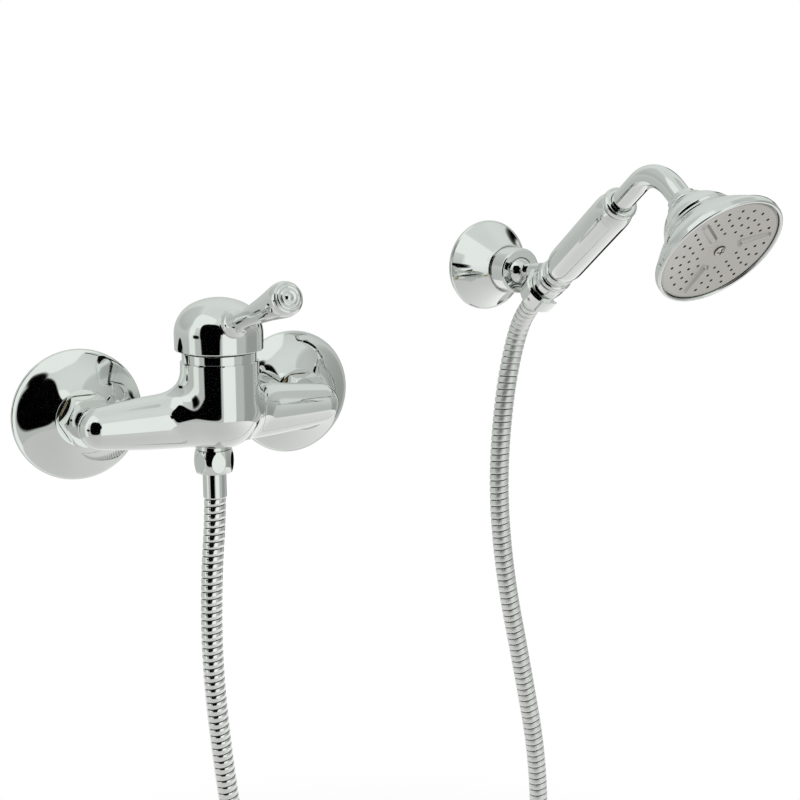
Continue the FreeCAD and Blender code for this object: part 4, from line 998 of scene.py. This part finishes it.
# Spray face
FACE_RADIUS = 37.0
FACE_BORE = 2.1
FACE_FRONT = 1.2
FACE_THICKNESS = 1.4
FACE_GRID = 0.45        # width of the sheet's meshes
FACE_TURNS = 480        # meshes around
DISH = 0.8              # how far the plate's middle lies behind its edge
DISH_SPAN = 25.8        # width of the slope between them
LIP = 1.2               # width of the turned lip at the edge
LIP_SLOPE = 0.3
RIBS = (79.0, -41.0, -161.0)
RIB_FROM = 14.3         # middles of a rib's round ends
RIB_TO = 30.7
RIB_HALF = 2.9          # half width with the foot
RIB_FOOT = 2.0          # width of the soft foot
RIB_HEIGHT = 0.9
HOLE_RADIUS = 0.95
SECTORS = (139.0, 19.0, -101.0)
# Each ring of holes in a sector: radius, count, degrees between two
HOLE_RINGS = ((14.5, 3, 30.0), (20.0, 5, 20.0), (25.5, 7, 15.0), (31.0, 7, 16.0))
SNAP = 0.55             # points nearer to a hole's edge than this share of a mesh are drawn onto it
INSIDE_HOLE = 0.9       # share of a hole's radius within which no face stays


def face_height(x, y):
    """Height of the dished plate with its three rounded ribs."""
    radius = np.hypot(x, y)
    plate = FACE_FRONT + DISH * np.clip((FACE_RADIUS - LIP - radius) / DISH_SPAN, 0, 1)
    plate = plate + LIP_SLOPE * np.clip(radius - FACE_RADIUS + LIP, 0, LIP)
    for turn in RIBS:
        a = math.radians(turn)
        along_rib, across_rib = x * math.cos(a) + y * math.sin(a), y * math.cos(a) - x * math.sin(a)
        away = np.hypot(np.maximum(np.maximum(RIB_FROM - along_rib, along_rib - RIB_TO), 0), across_rib)
        plate = plate + (FACE_FRONT - RIB_HEIGHT - plate) * ease(np.clip((RIB_HALF - away) / RIB_FOOT, 0, 1))
    return plate


def face_holes():
    """Middles of the spray holes: four rings in each of three sectors."""
    return [(radius * math.cos(a), radius * math.sin(a))
            for radius, count, step in HOLE_RINGS
            for middle in SECTORS
            for a in (math.radians(middle + (k - (count - 1) / 2) * step) for k in range(count))]


def spray_face():
    """Pierced sheet on a polar grid whose points close to a hole are drawn onto its edge."""
    rings = np.linspace(FACE_BORE, FACE_RADIUS, round((FACE_RADIUS - FACE_BORE) / FACE_GRID))
    turns = np.arange(FACE_TURNS) * 2 * math.pi / FACE_TURNS
    x, y = np.outer(rings, np.cos(turns)).ravel(), np.outer(rings, np.sin(turns)).ravel()
    inside = np.zeros(len(x), bool)
    for u, v in face_holes():
        away = np.hypot(x - u, y - v)
        near = np.abs(away - HOLE_RADIUS) < FACE_GRID * SNAP
        inside |= (away < HOLE_RADIUS) & ~near
        x[near] = u + (x[near] - u) * HOLE_RADIUS / away[near]
        y[near] = v + (y[near] - v) * HOLE_RADIUS / away[near]
    points = np.stack([x, y, face_height(x, y)], axis=1)
    index = np.arange(len(x)).reshape(len(rings), -1)
    after = np.roll(index, -1, axis=1)
    quads = np.stack([index[:-1], after[:-1], after[1:], index[1:]], axis=-1).reshape(-1, 4)
    middles = points[quads].mean(axis=1)
    open_here = inside[quads].any(axis=1)
    for u, v in face_holes():
        open_here |= np.hypot(middles[:, 0] - u, middles[:, 1] - v) < HOLE_RADIUS * INSIDE_HOLE
    mesh = bpy.data.meshes.new("spray face")
    mesh.from_pydata(points.tolist(), [], quads[~open_here].tolist())
    mesh.transform(HEAD_PLACE)
    sheet = settle(mesh, [("SOLIDIFY", {"thickness": FACE_THICKNESS * MM, "offset": -1.0})])
    return smooth(sheet, 50.0)


# The screw's cross slot and foot: distances from the head's axis and along it
SLOT_HALF = 0.47
SLOT_REACH = 2.5
SLOT_FROM = 0.72
FOOT_REACH = 3.3
FOOT_FROM = 1.45


def shaded_screw():
    """Face screw whose cross slot and foot lie in shadow."""
    piece = keep_cad("face_screw", 0.0, 30.0)
    piece.data.materials.append(MATERIALS["groove"])
    back = HEAD_PLACE.inverted()
    for polygon in piece.data.polygons:
        x, y, z = back @ polygon.center
        reach = math.hypot(x, y)
        in_slot = min(abs(x), abs(y)) < SLOT_HALF and reach < SLOT_REACH and z > SLOT_FROM
        at_foot = reach > FOOT_REACH and z > FOOT_FROM
        polygon.material_index = int(in_slot or at_foot)


shaded_screw()
show(spray_face(), "face_plate")

# Wall bracket
BRACKET_AT = (236.0, 79.0)
BRACKET_PLACE = on_wall(*BRACKET_AT)
BALL_Y = -40
ROD_RISE = math.radians(5.9)
ROD_AXIS = (0, -math.cos(ROD_RISE), math.sin(ROD_RISE))
ROD_PLACE = along((BRACKET_AT[0], BALL_Y, BRACKET_AT[1]), ROD_AXIS, RIGHT)


def bracket_outline():
    rim = [(32.6, 0.0)] + arc((31.9, 1.4), 0.7, 0, 90, 5)
    outside = rim + bow((31.5, 2.2), (17.5, 28.6), -0.8)
    top = [(17.3, 29.0), (16.2, 29.0), (16.2, 26.0)]
    inside = bow((31.0, 1.0), (16.2, 26.0), -1.2)[::-1][1:] + [(31.4, 0.0)]
    return outside + top + inside


turned("bracket_cone", bracket_outline(), BRACKET_PLACE, 144, 0.2)
bracket_collar = [(13.9, 20.0), (16.0, 20.0), (16.0, 42.6)] + arc((14.2, 42.7), 1.8, 0, 90, 8) + [
    (9.7, 44.5)] + arc((0, 40.0), 10.5, 25.4, 0, 8) + [(13.9, 40.0)]
turned("bracket_collar", bracket_collar, BRACKET_PLACE, 112, 0.2)
for node in ("bracket_plate", "left_bracket_screw", "right_bracket_screw", "collar_screw", "ball_seat"):
    keep_cad(node)
keep_cad("lock_nut", 0.3)
keep_cad("cradle", 0.35)
keep_cad("cradle_screw", 0.1)
ball = [(0, -10.2)] + arc((0, 0), 10.2, -85, 72, 28) + [(2.5, 9.9), (2.5, 25.0), (0, 25.0)]
show(lathe(ball, ROD_PLACE, 80, 0.0), "ball_rod")

# Studio: a pale floor that fades to white, soft lamps and a plain surround
WHITE = (1, 1, 1, 1)
BLACK = (0, 0, 0, 1)
FLOOR_MIDDLE = (0.08, -0.1, -0.70)
FLOOR_RADIUS = 1.4
FLOOR_FADE = (0.45, 0.95)
FLOOR_GREY = (0.86, 0.86, 0.86, 1)
# The floor as the chrome mirrors it, glowing with painted light: its least light, and what it gains to the
# right and outwards, in metres
FLOOR_LIGHT = 0.51
FLOOR_RIGHT = (0.8, 0.5, 0)
RIGHT_SPAN = (-1.3, 1.3)
RIGHT_GAIN = 0.38
OUTWARD_SPAN = (0.1, 1.4)
OUTWARD_GAIN = 0.12
# The tent as the chrome mirrors it: its least light, and how that changes with a direction's height
TENT_LIGHT = 0.57
TENT_RISE = (-0.3, 0.8)
TENT_GAIN = 0.25
TENT_TOP = (0.85, 1.0)
TENT_LOSS = 0.04
TENT_TINT = (0.955, 1.0, 0.965, 1)
PLAIN_LIGHT = 0.92
# Panels, in degrees: turn from straight out towards -X, lift, half width, half height; then edge and light
PANELS = (
    (-5.0, -12.0, 17.0, 44.0, 0.25, 0.80),
    (75.0, 48.0, 24.0, 20.0, 0.25, 0.55),
    (-72.0, 10.0, 22.0, 70.0, 0.40, -0.20),
    (140.0, 34.0, 30.0, 25.0, 0.40, -0.18),
    (95.0, -8.0, 9.0, 60.0, 0.25, 0.35),
)
# Dark opening and flags: the same without light
OPENING = (44.0, 11.0, 27.5, 33.0, 0.03)
FLAGS = (
    (82.0, -1.5, 9.0, 5.0, 0.02),
    (18.0, 18.0, 9.0, 10.0, 0.03),
    (-128.0, -6.0, 7.0, 30.0, 0.05),
)
# Each lamp: name, place, aim and size in metres, power in watts
LAMPS = (
    ("key softbox", (-0.9, -1.2, 1.3), (0.1, -0.1, 0.0), (0.7, 0.5), 9.0),
    ("fill softbox", (1.6, -1.0, 0.4), (0.15, -0.1, 0.0), (0.5, 1.1), 5.0),
)


def add_floor():
    """Pale floor disc that keeps the object's shadow near it and fades to white further out; to the chrome
    it glows with painted light, brighter to the right and outwards.
    """
    shape = bmesh.new()
    bmesh.ops.create_circle(shape, cap_ends=True, segments=96, radius=FLOOR_RADIUS)
    mesh = baked(shape, "floor")
    floor = add_object("floor", mesh)
    floor.location = FLOOR_MIDDLE
    made = bpy.data.materials.new("pale floor")
    finish = Finish(made)
    where = finish.coordinates()
    far = finish.length(where).step(*FLOOR_FADE)
    ray = finish.node("ShaderNodeLightPath")
    camera, glossy = finish.out(ray, "Is Camera Ray"), finish.out(ray, "Is Glossy Ray")
    paint = finish.node("ShaderNodeBsdfPrincipled", Base_Color=FLOOR_GREY, Roughness=0.6)
    # Painted light: what the chrome mirrors of the floor is a glow, brighter to the right and outwards
    side = finish.dot(where, FLOOR_RIGHT).step(*RIGHT_SPAN) * RIGHT_GAIN
    mirrored = side + finish.length(where).step(*OUTWARD_SPAN) * OUTWARD_GAIN + FLOOR_LIGHT
    glow = finish.node("ShaderNodeEmission", Color=WHITE, Strength=camera * (1 - mirrored) + mirrored)
    finish.surface("Material", finish.mix((far * camera).math("MAXIMUM", glossy), paint, glow))
    mesh.materials.append(made)


def add_world():
    """White to the camera, plain light for soft surfaces, and a studio for the chrome to mirror."""
    world = bpy.data.worlds.new("studio")
    bpy.context.scene.world = world
    finish = Finish(world)
    way = finish.coordinates("Generated")
    z = finish.dot(way, (0, 0, 1))
    tent = TENT_LIGHT + z.step(*TENT_RISE) * TENT_GAIN - z.step(*TENT_TOP) * TENT_LOSS
    for turn, lift, wide, tall, edge, change in PANELS:
        tent = tent + finish.panel(way, turn, lift, wide, tall, edge) * change
    dark = finish.panel(way, *OPENING)
    for flag in FLAGS:
        dark = dark.math("MAXIMUM", finish.panel(way, *flag))
    light = tent * (1 - dark)
    tint = finish.blend(light, BLACK, TENT_TINT)
    studio = finish.node("ShaderNodeBackground", Color=tint, Strength=1.0)
    plain = finish.node("ShaderNodeBackground", Color=WHITE, Strength=PLAIN_LIGHT)
    white = finish.node("ShaderNodeBackground", Color=WHITE, Strength=1.0)
    ray = finish.node("ShaderNodeLightPath")
    mirrored = finish.mix(finish.out(ray, "Is Glossy Ray"), plain, studio)
    finish.surface("World", finish.mix(finish.out(ray, "Is Camera Ray"), mirrored, white))


def add_lamp(name, place, aim, size, power):
    """Soft lamp that the chrome doesn't mirror."""
    data = bpy.data.lights.new(name, "AREA")
    data.shape = "RECTANGLE"
    data.size, data.size_y = size
    data.energy = power
    lamp = add_object(name, data)
    lamp.location = place
    lamp.rotation_euler = (Vector(aim) - Vector(place)).to_track_quat("-Z", "Y").to_euler()
    lamp.visible_glossy = False


add_floor()
add_world()
for lamp in LAMPS:
    add_lamp(*lamp)
bpy.context.scene.view_settings.view_transform = "Standard"
